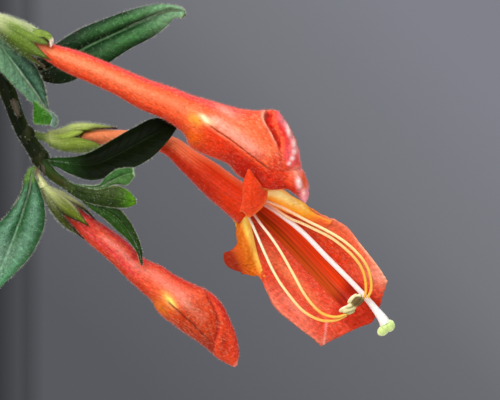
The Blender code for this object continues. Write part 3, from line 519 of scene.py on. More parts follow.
def mouldedPlastic():
    # Injection-moulded polypropylene, terracotta coloured: a fine spark-eroded grain, a soft
    # gloss and a little lime dust.
    material, tree = newMaterial("moulded polypropylene", 0.42, **{"Subsurface Weight": 0.02})
    place = addNode(tree, "TexCoord", {}, "Object")
    cloud = addNode(tree, "TexNoise", {"Scale": 1 / (38 * mm), "Detail": 4.0}, "Fac", Vector=place)
    body = addNode(tree, "ValToRGB", {"stops": ((0.35, "#9c4f34"), (0.65, "#a8573a"))}, 0, i0=cloud)
    film = addNode(tree, "TexNoise", {"Scale": 1 / (7 * mm), "Detail": 6.0, "Roughness": 0.7}, "Fac",
                   Vector=place)
    dust = addNode(tree, "ValToRGB", {"stops": ((0.58, 0.0), (0.80, 0.35))}, 0, i0=film)
    colour = addNode(tree, "Mix", {"data_type": "RGBA", 7: "#c4947c"}, 2, i0=dust, i6=body)
    gloss = addNode(tree, "ValToRGB", {"stops": ((0.4, 0.38), (0.8, 0.60))}, 0, i0=film)
    grain = addNode(tree, "TexNoise", {"Scale": 1 / (0.35 * mm), "Detail": 2.0}, "Fac", Vector=place)
    bump = addNode(tree, "Bump", {"Strength": 0.25, "Distance": 0.05 * mm}, 0, Height=grain)
    return finishMaterial(material, **{"Base Color": colour, "Roughness": gloss, "Normal": bump})


def pottingPeat():
    # Peat and composted bark, moist: dark crumbs of 1 to 4 mm, matt.
    material, tree = newMaterial("peat and bark potting mix", 0.92)
    place = addNode(tree, "TexCoord", {}, "Object")
    crumbs = addNode(tree, "TexVoronoi", {"Scale": 1 / (2.6 * mm)}, Vector=place)
    body = addNode(tree, "ValToRGB", {"stops": ((0.0, "#20160f"), (0.45, "#3a281b"), (0.8, "#4d3826"),
                                                (1.0, "#6b5139"))}, 0, i0=crumbs.outputs["Color"])
    fibre = addNode(tree, "TexNoise", {"Scale": 1 / (0.9 * mm), "Detail": 6.0, "Roughness": 0.75}, "Fac",
                    Vector=place)
    uneven = addNode(tree, "ValToRGB", {"stops": ((0.3, 0.6), (0.7, 1.3))}, 0, i0=fibre)
    colour = addNode(tree, "Mix", multiply, 2, i6=body, i7=uneven)
    bump = addNode(tree, "Bump", {"Strength": 0.9, "Distance": 0.8 * mm}, 0, Height=fibre)
    rough = addNode(tree, "Bump", {"Strength": 0.8, "Distance": 1.0 * mm}, 0,
                    Height=crumbs.outputs["Distance"], Normal=bump)
    return finishMaterial(material, **{"Base Color": colour, "Normal": rough})


def zincWire():
    # Drawn steel wire, zinc plated: dull silver with faint clouding and die lines.
    material, tree = newMaterial("zinc plated steel wire", 0.32, **{"Metallic": 1.0})
    place = addNode(tree, "TexCoord", {}, "Object")
    cloud = addNode(tree, "TexNoise", {"Scale": 1 / (3 * mm), "Detail": 5.0}, "Fac", Vector=place)
    colour = addNode(tree, "ValToRGB", {"stops": ((0.3, "#a7abae"), (0.7, "#c9ccce"))}, 0, i0=cloud)
    gloss = addNode(tree, "ValToRGB", {"stops": ((0.3, 0.42), (0.7, 0.26))}, 0, i0=cloud)
    bump = addNode(tree, "Bump", {"Strength": 0.2, "Distance": 0.03 * mm}, 0, Height=cloud)
    return finishMaterial(material, **{"Base Color": colour, "Roughness": gloss, "Normal": bump})


petal = petalVelvet()
satin = satinChannel()
bladeLarge = leafBlade("hairy leaf blade", 10.0, 38.0)
bladeSmall = leafBlade("hairy leaf blade small", 8.0, 26.0)
bladeUnder = leafBlade("matt leaf underside", 11.0, 34.0, 0.04, 1.05, 1.2)
calyxSkin = downyGreen("downy green calyx")
stemSkin = downyGreen("downy green stem")
clearHair = plantHair("clear plant hair", "#a9b890", "#eef2e2")
rosyHair = plantHair("rosy petal hair", "#ee4a2c", "#ffbca8")
waxy = waxyStalk()
pollen = pollenGrain()
plastic = mouldedPlastic()
peat = pottingPeat()
zinc = zincWire()
print("materials ready")


# hairs

def spikeTemplate():
    deselect()
    bpy.ops.mesh.primitive_cone_add(vertices=3, radius1=1.0, radius2=0.0, depth=1.0, location=(0, 0, 0.5))
    cone = bpy.context.object
    bpy.ops.object.transform_apply(location=True, rotation=False, scale=False)
    spots = getSpots(cone)
    faces = [tuple(face.vertices) for face in cone.data.polygons]
    bpy.data.objects.remove(cone, do_unlink=True)
    return spots, faces


spikeSpots, spikeFaces = spikeTemplate()
# mm across at the root, drawn coarser than real ones
hairWidth = {"hood": 0.070, "petal": 0.060, "calyx": 0.052, "leaf": 0.050}


def growHairs(thing, count, length, width, material, lean=(0.0, 0.0, 0.0), spread=0.35, where=None):
    # copies of one spike set on the surface at random, made part of the piece; length and width in mm
    mesh = thing.data
    mesh.calc_loop_triangles()
    tris = np.empty(3 * len(mesh.loop_triangles), int)
    mesh.loop_triangles.foreach_get("vertices", tris)
    tris = tris.reshape(-1, 3)
    spots, normals = getSpots(thing), getNormals(thing)
    a, b, c = (spots[tris[:, k]] for k in range(3))
    weight = np.linalg.norm(np.cross(b - a, c - a), axis=1)
    if where is not None:
        weight = weight * where((a + b + c) / 3, normals[tris].mean(1))
    chosen = rng.choice(len(tris), count, p=weight / weight.sum())
    r = rng.random((count, 2))
    r[r.sum(1) > 1] = 1 - r[r.sum(1) > 1]
    base = a[chosen] + r[:, :1] * (b - a)[chosen] + r[:, 1:] * (c - a)[chosen]
    up = normals[tris[chosen]].mean(1)
    up = up + np.asarray(lean) + spread * rng.normal(size=(count, 3))
    up /= np.linalg.norm(up, axis=1)[:, None]
    side = np.cross(up, np.where(abs(up[:, 2:]) < 0.9, (0, 0, 1), (1, 0, 0)))
    side /= np.linalg.norm(side, axis=1)[:, None]
    other = np.cross(up, side)
    size = length * mm * rng.uniform(0.45, 1.15, count)
    t = spikeSpots
    ring = t[None, :, :1] * side[:, None] + t[None, :, 1:2] * other[:, None]
    rooted = 0.02 * mm
    placed = (base[:, None] + width / 2 * mm * ring + t[None, :, 2:] * (up * size[:, None])[:, None]
              - rooted * up[:, None])
    lengths = [len(face) for face in spikeFaces]
    corners = np.concatenate([np.array(face) for face in spikeFaces])
    loops = (corners[None] + len(t) * np.arange(count)[:, None]).ravel()
    starts = np.concatenate([[0], np.cumsum(np.tile(lengths, count))[:-1]])
    hairMesh = bpy.data.meshes.new(thing.name + "_hairs")
    hairMesh.vertices.add(len(t) * count)
    hairMesh.vertices.foreach_set("co", placed.reshape(-1))
    hairMesh.loops.add(len(loops))
    hairMesh.loops.foreach_set("vertex_index", loops)
    hairMesh.polygons.add(len(starts))
    hairMesh.polygons.foreach_set("loop_start", starts)
    hairMesh.update(calc_edges=True)
    hairMesh.materials.append(material)
    return joinAll(thing, [addObject(thing.name + "_hairs", hairMesh)])


def growPetalHairs(thing, values):
    # densest along the outlines
    growHairs(thing, values["hairs"], values["hairLength"], hairWidth["petal"], rosyHair,
              lean=(0.0, -0.1, 0.2), spread=0.5,
              where=lambda centre, normal: 0.16 + 1.3 * (1 - abs(normal[:, 1])) ** 2)


# the flowering shoot's own measures

def onShoot(points):
    # millimetres from the leaf node: outwards, away from the viewer, up
    return leafNode + mm * np.asarray(points, float)


upperFlower = {"origin": (2.2, -7.0, 23.3), "fall": 23}
openFlower = {"origin": (46.9, 0.0, -9.5), "fall": 40}
lowerBud = {"origin": (9.7, -1.0, -14.7), "fall": 40}


def inFlower(flower, s, rise, depth):
    # along the flower, across it upwards and away from the viewer, in millimetres
    c, d = math.cos(math.radians(flower["fall"])), math.sin(math.radians(flower["fall"]))
    x0, y0, z0 = flower["origin"]
    return onShoot(np.stack([x0 + s * c + rise * d, y0 + depth, z0 - s * d + rise * c], -1))


def corollaTube(name, flower, table, around, along):
    # stations: along, top, bottom, half depth, shift away; the seam runs along the back
    t, closed = tubeRows(along)
    rows = smoothAt(table, t)
    kept = {}

    def shape(u, v):
        row = np.rint(v * along).astype(int)
        s, top, bottom, half, shift = rows[row].T
        a = 2 * math.pi * u
        rise = (top + bottom) / 2 + closed[row] * (top - bottom) / 2 * np.sin(a)
        depth = shift + closed[row] * half * np.cos(a)
        kept.update(s=s, rise=rise, depth=depth, front=-np.cos(a), up=np.sin(a), body=closed[row])
        return inFlower(flower, s, rise, depth)

    thing, u, v = layGrid(name, around, along, shape)
    spots = getSpots(thing)
    inwards = (getNormals(thing) * (spots - spots.mean(0))).sum(1).mean() < 0
    kept["outward"] = -1.0 if inwards else 1.0
    return thing, kept


# upper flower, still half closed

upperCorolla = {
    "stations": ((-5.5, 1.9, -1.1, 1.5, 0), (-2.0, 2.0, -1.5, 1.8, 0), (0.4, 2.1, -1.9, 2.0, 0),
                 (4.5, 2.7, -2.5, 2.3, 0), (10.5, 3.0, -2.6, 2.6, 0), (16.5, 3.0, -2.8, 2.9, 0.1),
                 (22.6, 3.1, -3.5, 3.1, 0.2), (28.0, 3.5, -3.5, 3.4, 0.3), (32.4, 3.6, -4.3, 3.9, 0.5),
                 (34.6, 3.9, -5.3, 4.3, 0.6), (36.4, 4.1, -6.9, 4.7, 0.7), (38.6, 4.4, -7.1, 5.0, 0.7),
                 (41.0, 4.7, -7.1, 5.2, 0.8), (43.4, 5.1, -7.0, 5.4, 0.9), (45.6, 5.7, -7.2, 5.5, 1.0),
                 (47.6, 6.6, -8.3, 5.6, 1.1), (49.4, 7.5, -8.7, 5.6, 1.2), (50.8, 7.5, -8.8, 5.4, 1.3),
                 (52.6, 6.4, -8.9, 5.1, 1.4), (54.4, 5.1, -8.9, 4.7, 1.5), (56.2, 3.5, -8.6, 4.3, 1.6),
                 (58.0, 1.4, -7.7, 3.6, 1.7), (59.6, -1.2, -7.1, 2.9, 1.8), (61.4, -2.7, -7.4, 2.2, 1.9),
                 (63.0, -4.3, -8.1, 1.4, 2.0), (64.1, -6.6, -8.4, 0.5, 2.0)),
    "rimEdge": ((7.6, 48.3), (7.1, 48.3), (5.9, 48.2), (4.9, 48.6), (3.9, 49.7), (2.7, 51.4), (0.9, 53.4),
                (-0.9, 54.9), (-2.6, 56.3), (-4.0, 57.4)),
    "seam": ((35.6, 0.1), (36.8, -0.6), (39.5, -1.3), (43.4, -2.0), (46.9, -2.9), (50.4, -3.8),
             (53.4, -4.5), (56.0, -5.2)),
    "cavityDepth": 1.5,
    # painted highlights over small raised bumps on the rolled lobe: along, across, length, breadth, turn
    "highlightBeads": ((54.1, 4.4, 1.4, 0.40, -0.95), (56.3, 2.2, 0.9, 0.42, -1.0), (57.1, 0.7, 0.55, 0.42, -1.2),
              (57.3, -0.7, 0.45, 0.40, -1.4), (57.2, -1.9, 0.35, 0.35, -1.4),
              (60.7, -4.8, 1.3, 0.50, -0.85), (62.9, -6.5, 0.8, 0.45, -0.9)),
    "hairs": 5200, "hairLength": 0.58,
}


def makeUpperCorolla():
    values = upperCorolla
    thing, at = corollaTube("upper_flower", upperFlower, values["stations"], around=150, along=250)
    s, n, front, up = at["s"], at["rise"], at["front"], at["up"]
    facing = ramp(front, 0.0, 0.35)
    edge = np.array(values["rimEdge"])
    beyond = s - np.interp(n, edge[::-1, 0], edge[::-1, 1])
    wide = np.interp(n, (-0.4, 1.0, 2.6, 4.0, 6.0, 7.6), (0.6, 1.4, 2.1, 2.5, 2.4, 1.3))
    share = np.clip(beyond / wide, 0, 1)
    fade = ramp(n, -0.6, 1.6) * facing
    hollow = np.sin(math.pi * share) ** 0.7 * fade
    shadow = bell(beyond - 0.22, 0.24) * fade
    lip = bell(beyond + 0.35, 0.34) * ramp(n, -3.5, -1.0) * facing
    rolled = ramp(beyond - wide, -0.1, 0.7) * ramp(n, -3.4, -1.4) * facing
    seam = np.array(values["seam"])
    below = n - np.interp(s, seam[:, 0], seam[:, 1])
    onSeam = facing * ramp(s, 37.2, 39.5) * (1 - ramp(s, 53.0, 55.8))
    crease = bell(below, 0.16) * onSeam
    overlap = ramp(below, 0.0, 0.25) * (1 - ramp(below, 0.4, 3.2)) * onSeam
    bulge = spot(s, n, 60.6, -5.0, 2.6, 1.4, -0.72) * facing
    notch = spot(s, n, 58.6, -3.0, 0.40, 2.2, -0.95) * facing
    keel = spot(s, n, 36.2, -5.4, 1.6, 1.5) * (0.4 + 0.6 * facing)
    highlightBeads = sum(spot(s, n, *bead) for bead in values["highlightBeads"]) * facing
    crinkle = np.sin(2.6 * s + 1.7 * n) * np.sin(1.9 * n - 1.2 * s) * facing * ramp(s, 36, 40)
    dimple = spot(s, n, 44.5, 2.6, 4.6, 1.5, -0.3) * facing
    amount = (-values["cavityDepth"] * hollow + 0.30 * lip - 0.22 * crease + 0.26 * overlap + 0.55 * rolled
              + 0.9 * bulge - 0.55 * notch + 0.5 * keel + 0.32 * highlightBeads + 0.05 * crinkle - 0.4 * dimple)
    swell(thing, amount * at["body"], at["outward"])
    paint(thing, "#f05424",
          ("#e83a44", 0.85 * ramp(up, 0.55, 0.90) * (1 - 0.7 * ramp(s, 40, 46))),
          # painted highlight: a paler salmon band down the lit front
          ("#f88a5e", (0.60 + 0.36 * (1 - ramp(s, 14, 26))) * facing * bell(up - 0.14, 0.36)),
          ("#d82a04", 0.75 * ramp(-up, 0.45, 0.85) * (1 - ramp(s, 33, 37))),
          # painted highlight on the head above the seam
          ("#fa9a86", 0.80 * facing * ramp(s, 37, 41) * bell(below - 1.5, 1.3) * (1 - ramp(s, 48.5, 53))),
          ("#f4592c", 0.8 * facing * ramp(s, 46, 49) * ramp(n, -1.5, 1.0) * (1 - ramp(beyond, -0.8, -0.2))),
          ("#dc2c00", 0.9 * ramp(-below, 0.2, 1.0) * ramp(s, 35, 38) * facing),
          ("#ac0e00", 0.85 * ramp(-below, 0.4, 2.2) * ramp(s, 40, 48) * facing),
          ("#d02408", 0.8 * ramp(s, 52.5, 54.5) * ramp(-n, -0.8, 1.4) * (1 - ramp(s, 57.5, 59)) * facing),
          ("#d85400", 0.95 * spot(s, n, 35.8, -4.6, 2.6, 2.2) * ramp(front, -0.4, 0.3)),
          ("#f4a028", 0.9 * spot(s, n, 35.0, -0.9, 1.7, 1.2) * facing),
          ("#ffecb8", 1.2 * spot(s, n, 36.9, -0.1, 1.5, 0.55, -0.30) * facing),
          # painted highlights on the top of the head
          ("#ffb8a0", 0.55 * spot(s, n, 40.4, 3.4, 2.8, 1.0, -0.15) * facing),
          ("#ffc4ac", 0.50 * spot(s, n, 39.0, 0.5, 1.6, 0.8) * facing),
          ("#b41804", 0.50 * spot(s, n, 51.2, -2.9, 2.0, 1.0) * facing),
          # painted shade in the seam's crease
          ("#8c0a04", 1.1 * crease),
          ("#cc1600", 1.0 * ramp(hollow, 0.15, 0.5)),
          ("#d81804", 0.6 * spot(s, n, 56.3, 0.6, 1.2, 1.6) * facing),
          ("#8a0806", 0.9 * shadow),
          # painted highlight along the cavity's lip
          ("#ffa68c", 0.85 * lip * ramp(n, 0, 2)),
          ("#e62c2c", 0.9 * rolled),
          ("#dc2414", 0.8 * bulge),
          # painted highlights on the rolled lobe: at its tip, by the notch, on the roll, along its lit
          # upper edge, and over the raised bumps
          ("#ffa4b0", 0.7 * spot(s, n, 63.2, -7.0, 1.0, 1.0) * facing),
          ("#ffbcb0", 0.45 * spot(s, n, 59.5, -2.4, 1.2, 0.9) * facing),
          ("#ff9ca4", 0.8 * rolled * ramp(up, 0.72, 0.92) * ramp(s, 50, 52)),
          ("#ff8c94", 0.6 * rolled * spot(s, n, 57.0, 1.0, 1.5, 2.6)),
          ("#ffd0cc", 1.25 * np.clip(highlightBeads, 0, 1)),
          ("#ff9cac", 0.85 * ramp(s, 62.2, 63.6)),
          ("#c4281a", 0.6 * ramp(-front, 0.2, 0.9) * ramp(s, 40, 50)))
    mark(thing, wet=0.9 * rolled + bulge,
         downy=0.50 + 0.40 * facing * ramp(s, 30, 38) * ramp(below, -0.2, 0.8) * (1 - rolled)
             + 0.35 * ramp(up, 0.3, 0.9) - 0.5 * rolled - hollow
             - 0.16 * ramp(-below, 0.2, 1.0) * ramp(s, 35, 38) * facing)
    dressSkin(thing, petal)
    growPetalHairs(thing, values)
    finishPiece(thing, ["corolla_upper"])


makeUpperCorolla()
print("upper flower made")


# lower flower, a closed bud

budCorolla = {
    "stations": ((-5.2, 1.9, -1.3, 1.6, 0), (-2.0, 2.3, -1.6, 1.9, 0), (0.8, 2.6, -2.2, 2.2, 0),
                 (4.1, 3.0, -2.3, 2.5, 0), (9.1, 3.3, -2.3, 2.7, 0), (14.0, 2.9, -2.8, 2.8, 0),
                 (18.1, 4.0, -3.0, 3.1, 0), (21.5, 4.4, -3.1, 3.5, 0.1), (23.4, 4.8, -3.9, 3.8, 0.1),
                 (25.7, 5.4, -4.2, 4.1, 0.1), (28.8, 6.3, -4.0, 4.4, 0.2), (31.2, 6.5, -3.9, 4.4, 0.3),
                 (33.9, 6.1, -3.6, 4.1, 0.3), (36.7, 4.9, -3.4, 3.6, 0.4), (39.8, 3.3, -3.4, 2.9, 0.4),
                 (42.1, 1.6, -3.1, 2.1, 0.4), (43.8, -0.2, -2.7, 1.2, 0.4), (44.7, -1.9, -2.4, 0.3, 0.4)),
    "seam": ((22.6, -0.5), (24.9, -0.95), (31.9, -1.15), (34.5, -1.5), (38.1, -1.8)),
    "fold": ((28.0, 6.9), (29.2, 6.3), (30.8, 5.3), (32.6, 4.8), (34.6, 3.8), (36.0, 2.4), (36.9, 1.1),
             (38.1, -1.7), (39.6, -5.0)),
    "hairs": 2700, "hairLength": 0.52,
}


def makeBud():
    values = budCorolla
    thing, at = corollaTube("bud_flower", lowerBud, values["stations"], around=120, along=180)
    s, n, front, up = at["s"], at["rise"], at["front"], at["up"]
    facing = ramp(front, 0.0, 0.35)
    seam = np.array(values["seam"])
    below = n - np.interp(s, seam[:, 0], seam[:, 1])
    onSeam = facing * ramp(s, 23.6, 25.4) * (1 - ramp(s, 35.0, 38.0))
    crease = bell(below, 0.20) * onSeam
    overlap = ramp(below, 0.0, 0.25) * (1 - ramp(below, 0.4, 2.6)) * onSeam
    line = np.array(values["fold"])
    slope = np.interp(s, line[:, 0], np.gradient(line[:, 1], line[:, 0]))
    past = (n - np.interp(s, line[:, 0], line[:, 1])) / np.sqrt(1 + slope ** 2)
    onFold = ramp(s, 29.0, 30.6) * (1 - ramp(s, 37.4, 38.6)) * facing
    fold = bell(past, 0.30) * onFold
    lobe = ramp(past, 0.1, 0.9) * ramp(s, 28.5, 30.5) * facing
    rib = bell(up + 0.34, 0.09) * (1 - ramp(s, 16, 20)) * facing
    rib2 = bell(up - 0.12, 0.12) * (1 - ramp(s, 16, 20)) * facing
    amount = -0.26 * crease + 0.24 * overlap - 0.24 * fold + 0.30 * lobe - 0.12 * rib + 0.10 * rib2
    swell(thing, amount * at["body"], at["outward"])
    tubeShare = 1 - ramp(s, 13, 19)
    paint(thing, "#e8502c",
          ("#d42c44", tubeShare * (0.75 * ramp(up, 0.45, 0.85)
                                   + 0.6 * ramp(-up, 0.0, 0.3) * (1 - ramp(-up, 0.5, 0.8)))),
          ("#c83030", 0.7 * (1 - ramp(s, 1.5, 5.0))),
          # painted highlight along the lit front of the tube
          ("#f08880", 0.75 * tubeShare * facing * bell(up - 0.16, 0.24) * ramp(s, 2.5, 6.0)),
          # painted shadow of the hanging leaf tip
          ("#b01c24", 0.95 * spot(s, n, 12.4, 2.2, 1.2, 1.2) * facing),
          ("#f4806c", 0.8 * (1 - tubeShare) * facing * bell(up - 0.30, 0.34) * (1 - ramp(s, 27, 31))),
          ("#cc2018", 0.85 * ramp(up, 0.66, 0.92) * (1 - tubeShare)),
          ("#c82c08", 0.9 * ramp(-up, 0.40, 0.80)),
          ("#ac1c02", 0.85 * ramp(s, 25, 30) * (1 - ramp(n, 2.0, 5.5)) * (1 - lobe) * facing),
          ("#e06420", 0.40 * mottle(1.4 * s, 1.4 * n) * ramp(s, 24, 29) * (1 - lobe) * facing),
          ("#dc7010", 0.9 * spot(s, n, 23.9, -3.0, 2.6, 1.5) * ramp(front, -0.4, 0.3)),
          ("#f8a448", 0.85 * spot(s, n, 24.0, -0.3, 2.1, 1.1, -0.15) * facing),
          ("#ffe06c", 1.2 * spot(s, n, 24.9, -0.5, 1.5, 0.60, -0.15) * facing),
          # painted highlights on the lit body
          ("#ffc4a8", 0.32 * spot(s, n, 27.8, 1.3, 2.2, 0.8) * facing),
          ("#f8a890", 0.18 * spot(s, n, 31.8, 1.3, 1.6, 1.0) * facing),
          # painted shade at the lower end of the fold, and in the seam's crease
          ("#8c1604", 0.75 * spot(s, n, 38.6, -2.6, 4.0, 1.6) * facing),
          ("#780804", 1.1 * crease),
          ("#dc3c14", 0.85 * lobe),
          ("#c81c1c", 0.7 * lobe * ramp(up, 0.55, 0.9)),
          # painted shade in the fold and along its near side
          ("#a41408", 0.8 * fold + 0.35 * bell(past + 0.8, 0.9) * onFold),
          ("#8c1406", 0.7 * spot(s, n, 39.4, 0.2, 2.6, 0.9, -0.83) * facing),
          ("#d8301c", 0.6 * ramp(s, 39.5, 42.0) * ramp(n, -1.6, 0.0)),
          ("#ff9c8c", 0.6 * ramp(s, 43.9, 44.5)))
    mark(thing, wet=0.45 * lobe, downy=0.65)
    dressSkin(thing, petal)
    growPetalHairs(thing, values)
    finishPiece(thing, ["corolla_bud"])


makeBud()
print("bud made")


# the open flower

openTube = {
    "stations": ((-38.7, -12.3, -14.7, 1.3, 2.6), (-36.6, -9.6, -13.2, 1.8, 2.6),
                 (-34.2, -7.6, -11.8, 2.0, 2.6), (-29.3, -3.9, -8.5, 2.1, 2.8),
                 (-23.0, -0.3, -4.7, 2.2, 2.8), (-17.6, 0.4, -4.9, 2.7, 2.4), (-12.5, 1.2, -5.4, 3.2, 2.0),
                 (-8.5, 1.5, -5.7, 3.7, 1.7), (-5.2, 1.8, -5.7, 4.0, 1.4), (-2.4, 2.4, -5.8, 4.3, 1.2),
                 (0.2, 3.2, -5.8, 4.5, 0.9)),
    "hairs": 1500, "hairLength": 0.5,
}
# nets of (along, across, away) points; rows run along the flower
hood = {
    "net": (
        ((-2.0, -5.2, 2.6), (-2.0, -4.2, 3.6), (-2.0, -3.2, 4.6), (-2.0, -2.0, 5.2), (-2.0, -0.4, 5.6),
         (-2.0, 0.8, 5.0), (-2.0, 1.4, 4.4), (-2.0, 2.0, 3.6), (-2.0, 2.4, 2.6)),
        ((3.0, -7.6, 2.2), (3.0, -6.2, 3.6), (3.0, -4.2, 4.8), (3.0, -2.2, 5.3), (3.0, -0.4, 6.3),
         (3.0, 1.2, 5.2), (3.0, 2.4, 4.7), (3.0, 3.8, 3.8), (3.0, 5.2, 2.2)),
        ((8.0, -10.2, 2.4), (8.0, -8.4, 3.7), (8.0, -5.4, 5.0), (8.0, -2.8, 5.5), (8.0, -0.4, 6.7),
         (8.0, 1.8, 5.4), (8.0, 3.2, 4.9), (8.0, 5.0, 3.8), (8.0, 6.4, 2.4)),
        ((13.0, -12.4, 2.8), (12.9, -10.6, 3.4), (13.0, -7.0, 4.9), (13.0, -3.4, 5.6), (13.0, -0.8, 7.0),
         (13.0, 1.7, 5.6), (13.0, 3.6, 5.0), (13.0, 6.0, 3.6), (13.2, 7.4, 2.8)),
        ((18.0, -14.7, 3.0), (18.0, -12.6, 3.2), (18.0, -8.4, 4.8), (18.0, -4.1, 5.7), (18.0, -1.3, 7.2),
         (18.0, 1.3, 5.8), (18.0, 4.0, 5.0), (18.0, 7.4, 3.4), (18.0, 8.9, 3.1)),
        ((24.0, -14.9, 3.2), (24.2, -13.2, 3.0), (24.5, -9.4, 4.4), (24.6, -4.9, 5.4), (24.6, -2.2, 6.8),
         (24.6, 0.6, 5.6), (24.5, 3.2, 4.8), (24.2, 6.4, 3.2), (24.0, 8.0, 3.2)),
        ((28.8, -14.7, 3.4), (29.6, -13.0, 2.9), (30.2, -9.6, 3.9), (30.6, -5.6, 4.8), (30.8, -3.0, 5.8),
         (30.6, -0.4, 5.0), (30.2, 2.2, 4.2), (29.8, 5.4, 2.8), (29.4, 6.9, 3.1)),
        ((30.2, -14.8, 3.8), (31.6, -12.4, 3.1), (32.9, -9.2, 3.6), (34.2, -6.2, 4.2), (34.8, -4.0, 4.9),
         (34.8, -1.6, 4.2), (33.8, 1.2, 3.5), (33.0, 4.0, 2.8), (32.4, 6.0, 3.2)),
        ((31.4, -14.8, 4.2), (32.7, -11.9, 3.8), (34.1, -8.6, 3.9), (35.4, -5.5, 4.2), (36.5, -3.1, 4.5),
         (36.1, -0.6, 4.1), (35.1, 1.6, 3.7), (34.2, 3.7, 3.5), (33.5, 5.7, 3.6)),
    ),
    # the smooth floor: along, and its two sides across
    "trough": ((-2, -2.0, 0.8), (2.6, -2.1, 1.2), (8.0, -2.7, 1.7), (16.3, -3.8, 1.4), (24.7, -4.9, 0.7),
               (30.0, -5.4, 0.0), (34.0, -5.6, -0.6)),
    "thickness": 0.55, "hairs": 900, "hairLength": 0.45,
}
leftLobe = {
    "net": (
        ((0.6, -2.6, 0.6), (0.2, -3.6, -0.5), (-0.2, -4.6, -0.4), (-0.6, -5.3, 1.0)),
        ((2.6, -4.4, 1.4), (2.2, -5.4, 0.0), (1.6, -6.6, -0.2), (0.9, -7.6, 1.2)),
        ((4.8, -6.0, 2.4), (4.4, -7.2, 0.6), (3.8, -8.6, 0.2), (2.7, -9.5, 1.6)),
        ((6.8, -7.6, 3.0), (6.4, -8.8, 1.2), (5.2, -10.2, 0.8), (2.5, -11.6, 1.0)),
        ((8.8, -9.0, 3.2), (8.0, -10.2, 1.8), (5.8, -12.0, 1.2), (1.9, -12.8, 0.4)),
        ((10.4, -10.0, 3.4), (9.2, -10.9, 2.4), (6.8, -12.6, 1.8), (3.9, -14.5, 0.8)),
        ((12.0, -10.9, 3.2), (10.8, -11.4, 2.8), (8.8, -12.4, 2.3), (6.6, -14.0, 1.8)),
        ((13.6, -12.1, 3.2), (12.2, -11.9, 3.0), (10.5, -11.8, 2.7), (8.9, -12.4, 2.2)),
    ),
    "thickness": 0.5,
}
rightLobe = {
    "net": (
        ((0.4, 1.6, -0.4), (0.5, 2.4, -0.7), (0.5, 3.2, -0.6), (0.4, 4.1, 0.4)),
        ((2.8, 2.0, 0.0), (2.6, 3.4, -0.5), (2.4, 4.8, -0.4), (2.2, 6.1, 0.7)),
        ((6.4, 2.8, 0.8), (6.0, 4.2, 0.2), (5.6, 5.6, 0.1), (5.3, 6.5, 0.9)),
        ((9.6, 3.8, 1.8), (9.2, 5.0, 1.0), (8.8, 6.2, 0.8), (8.5, 7.1, 1.4)),
        ((10.8, 4.2, 2.3), (10.6, 5.2, 1.5), (10.4, 6.0, 1.2), (10.3, 6.7, 1.7)),
        ((12.8, 4.9, 3.1), (12.7, 5.7, 2.3), (12.6, 6.4, 1.9), (12.6, 7.0, 2.3)),
        ((15.6, 5.9, 4.0), (15.6, 6.6, 3.2), (15.6, 7.3, 2.8), (15.6, 8.0, 2.8)),
    ),
    "thickness": 0.5,
}
bentLip = {
    "net": (
        ((-1.2, -1.6, -3.9), (-0.9, -4.0, -3.2), (0.9, -4.3, -3.3), (1.5, -4.5, -1.9), (1.8, -4.7, -0.4),
         (1.8, -4.6, 1.1), (1.3, -4.3, 2.6), (0.6, -3.6, 3.7)),
        ((-1.6, -4.2, -3.3), (-0.8, -5.6, -2.6), (0.2, -6.0, -2.0), (0.5, -6.2, -1.0), (0.6, -6.2, 0.2),
         (0.5, -6.1, 1.6), (0.0, -5.8, 2.7), (-0.4, -5.0, 3.45)),
        ((-2.6, -6.0, -1.2), (-1.9, -7.3, -1.0), (-1.4, -7.8, -0.5), (-1.2, -8.0, 0.2), (-1.2, -8.0, 1.1),
         (-1.2, -8.0, 2.2), (-1.5, -8.0, 3.15), (-1.6, -7.6, 3.95)),
        ((-4.6, -7.6, 1.2), (-4.2, -8.9, 1.5), (-3.8, -9.4, 1.9), (-3.6, -9.6, 2.4), (-3.5, -9.6, 3.0),
         (-3.5, -9.6, 3.6), (-3.6, -9.5, 4.0), (-3.8, -9.2, 4.45)),
        ((-5.6, -8.9, 3.6), (-5.7, -9.8, 3.9), (-5.8, -10.2, 4.1), (-5.8, -10.4, 4.3), (-5.8, -10.4, 4.5),
         (-5.8, -10.4, 4.7), (-5.8, -10.3, 4.9), (-5.7, -10.0, 5.1)),
    ),
    "thickness": 0.55, "hairs": 700, "hairLength": 0.22,
}


def netSheet(name, flower, net, across, along, order=(0, 1, 2)):
    net = np.asarray(net, float)[:, :, list(order)]
    kept = {}

    def shape(u, v):
        s, rise, depth = smoothAcross(smoothAt(net, v), u).T
        kept.update(s=s, rise=rise, u=u, v=v)
        return inFlower(flower, s, rise, depth)

    thing = layGrid(name, across, along, shape)[0]
    faceTowards(thing, (0, -1, 0))
    return thing, kept


def troughShare(s, n):
    # how far across the hood's smooth floor: -1 and 1 at its sides
    sides = np.array(hood["trough"])
    low, high = np.interp(s, sides[:, 0], sides[:, 1]), np.interp(s, sides[:, 0], sides[:, 2])
    return (2 * n - low - high) / (high - low)


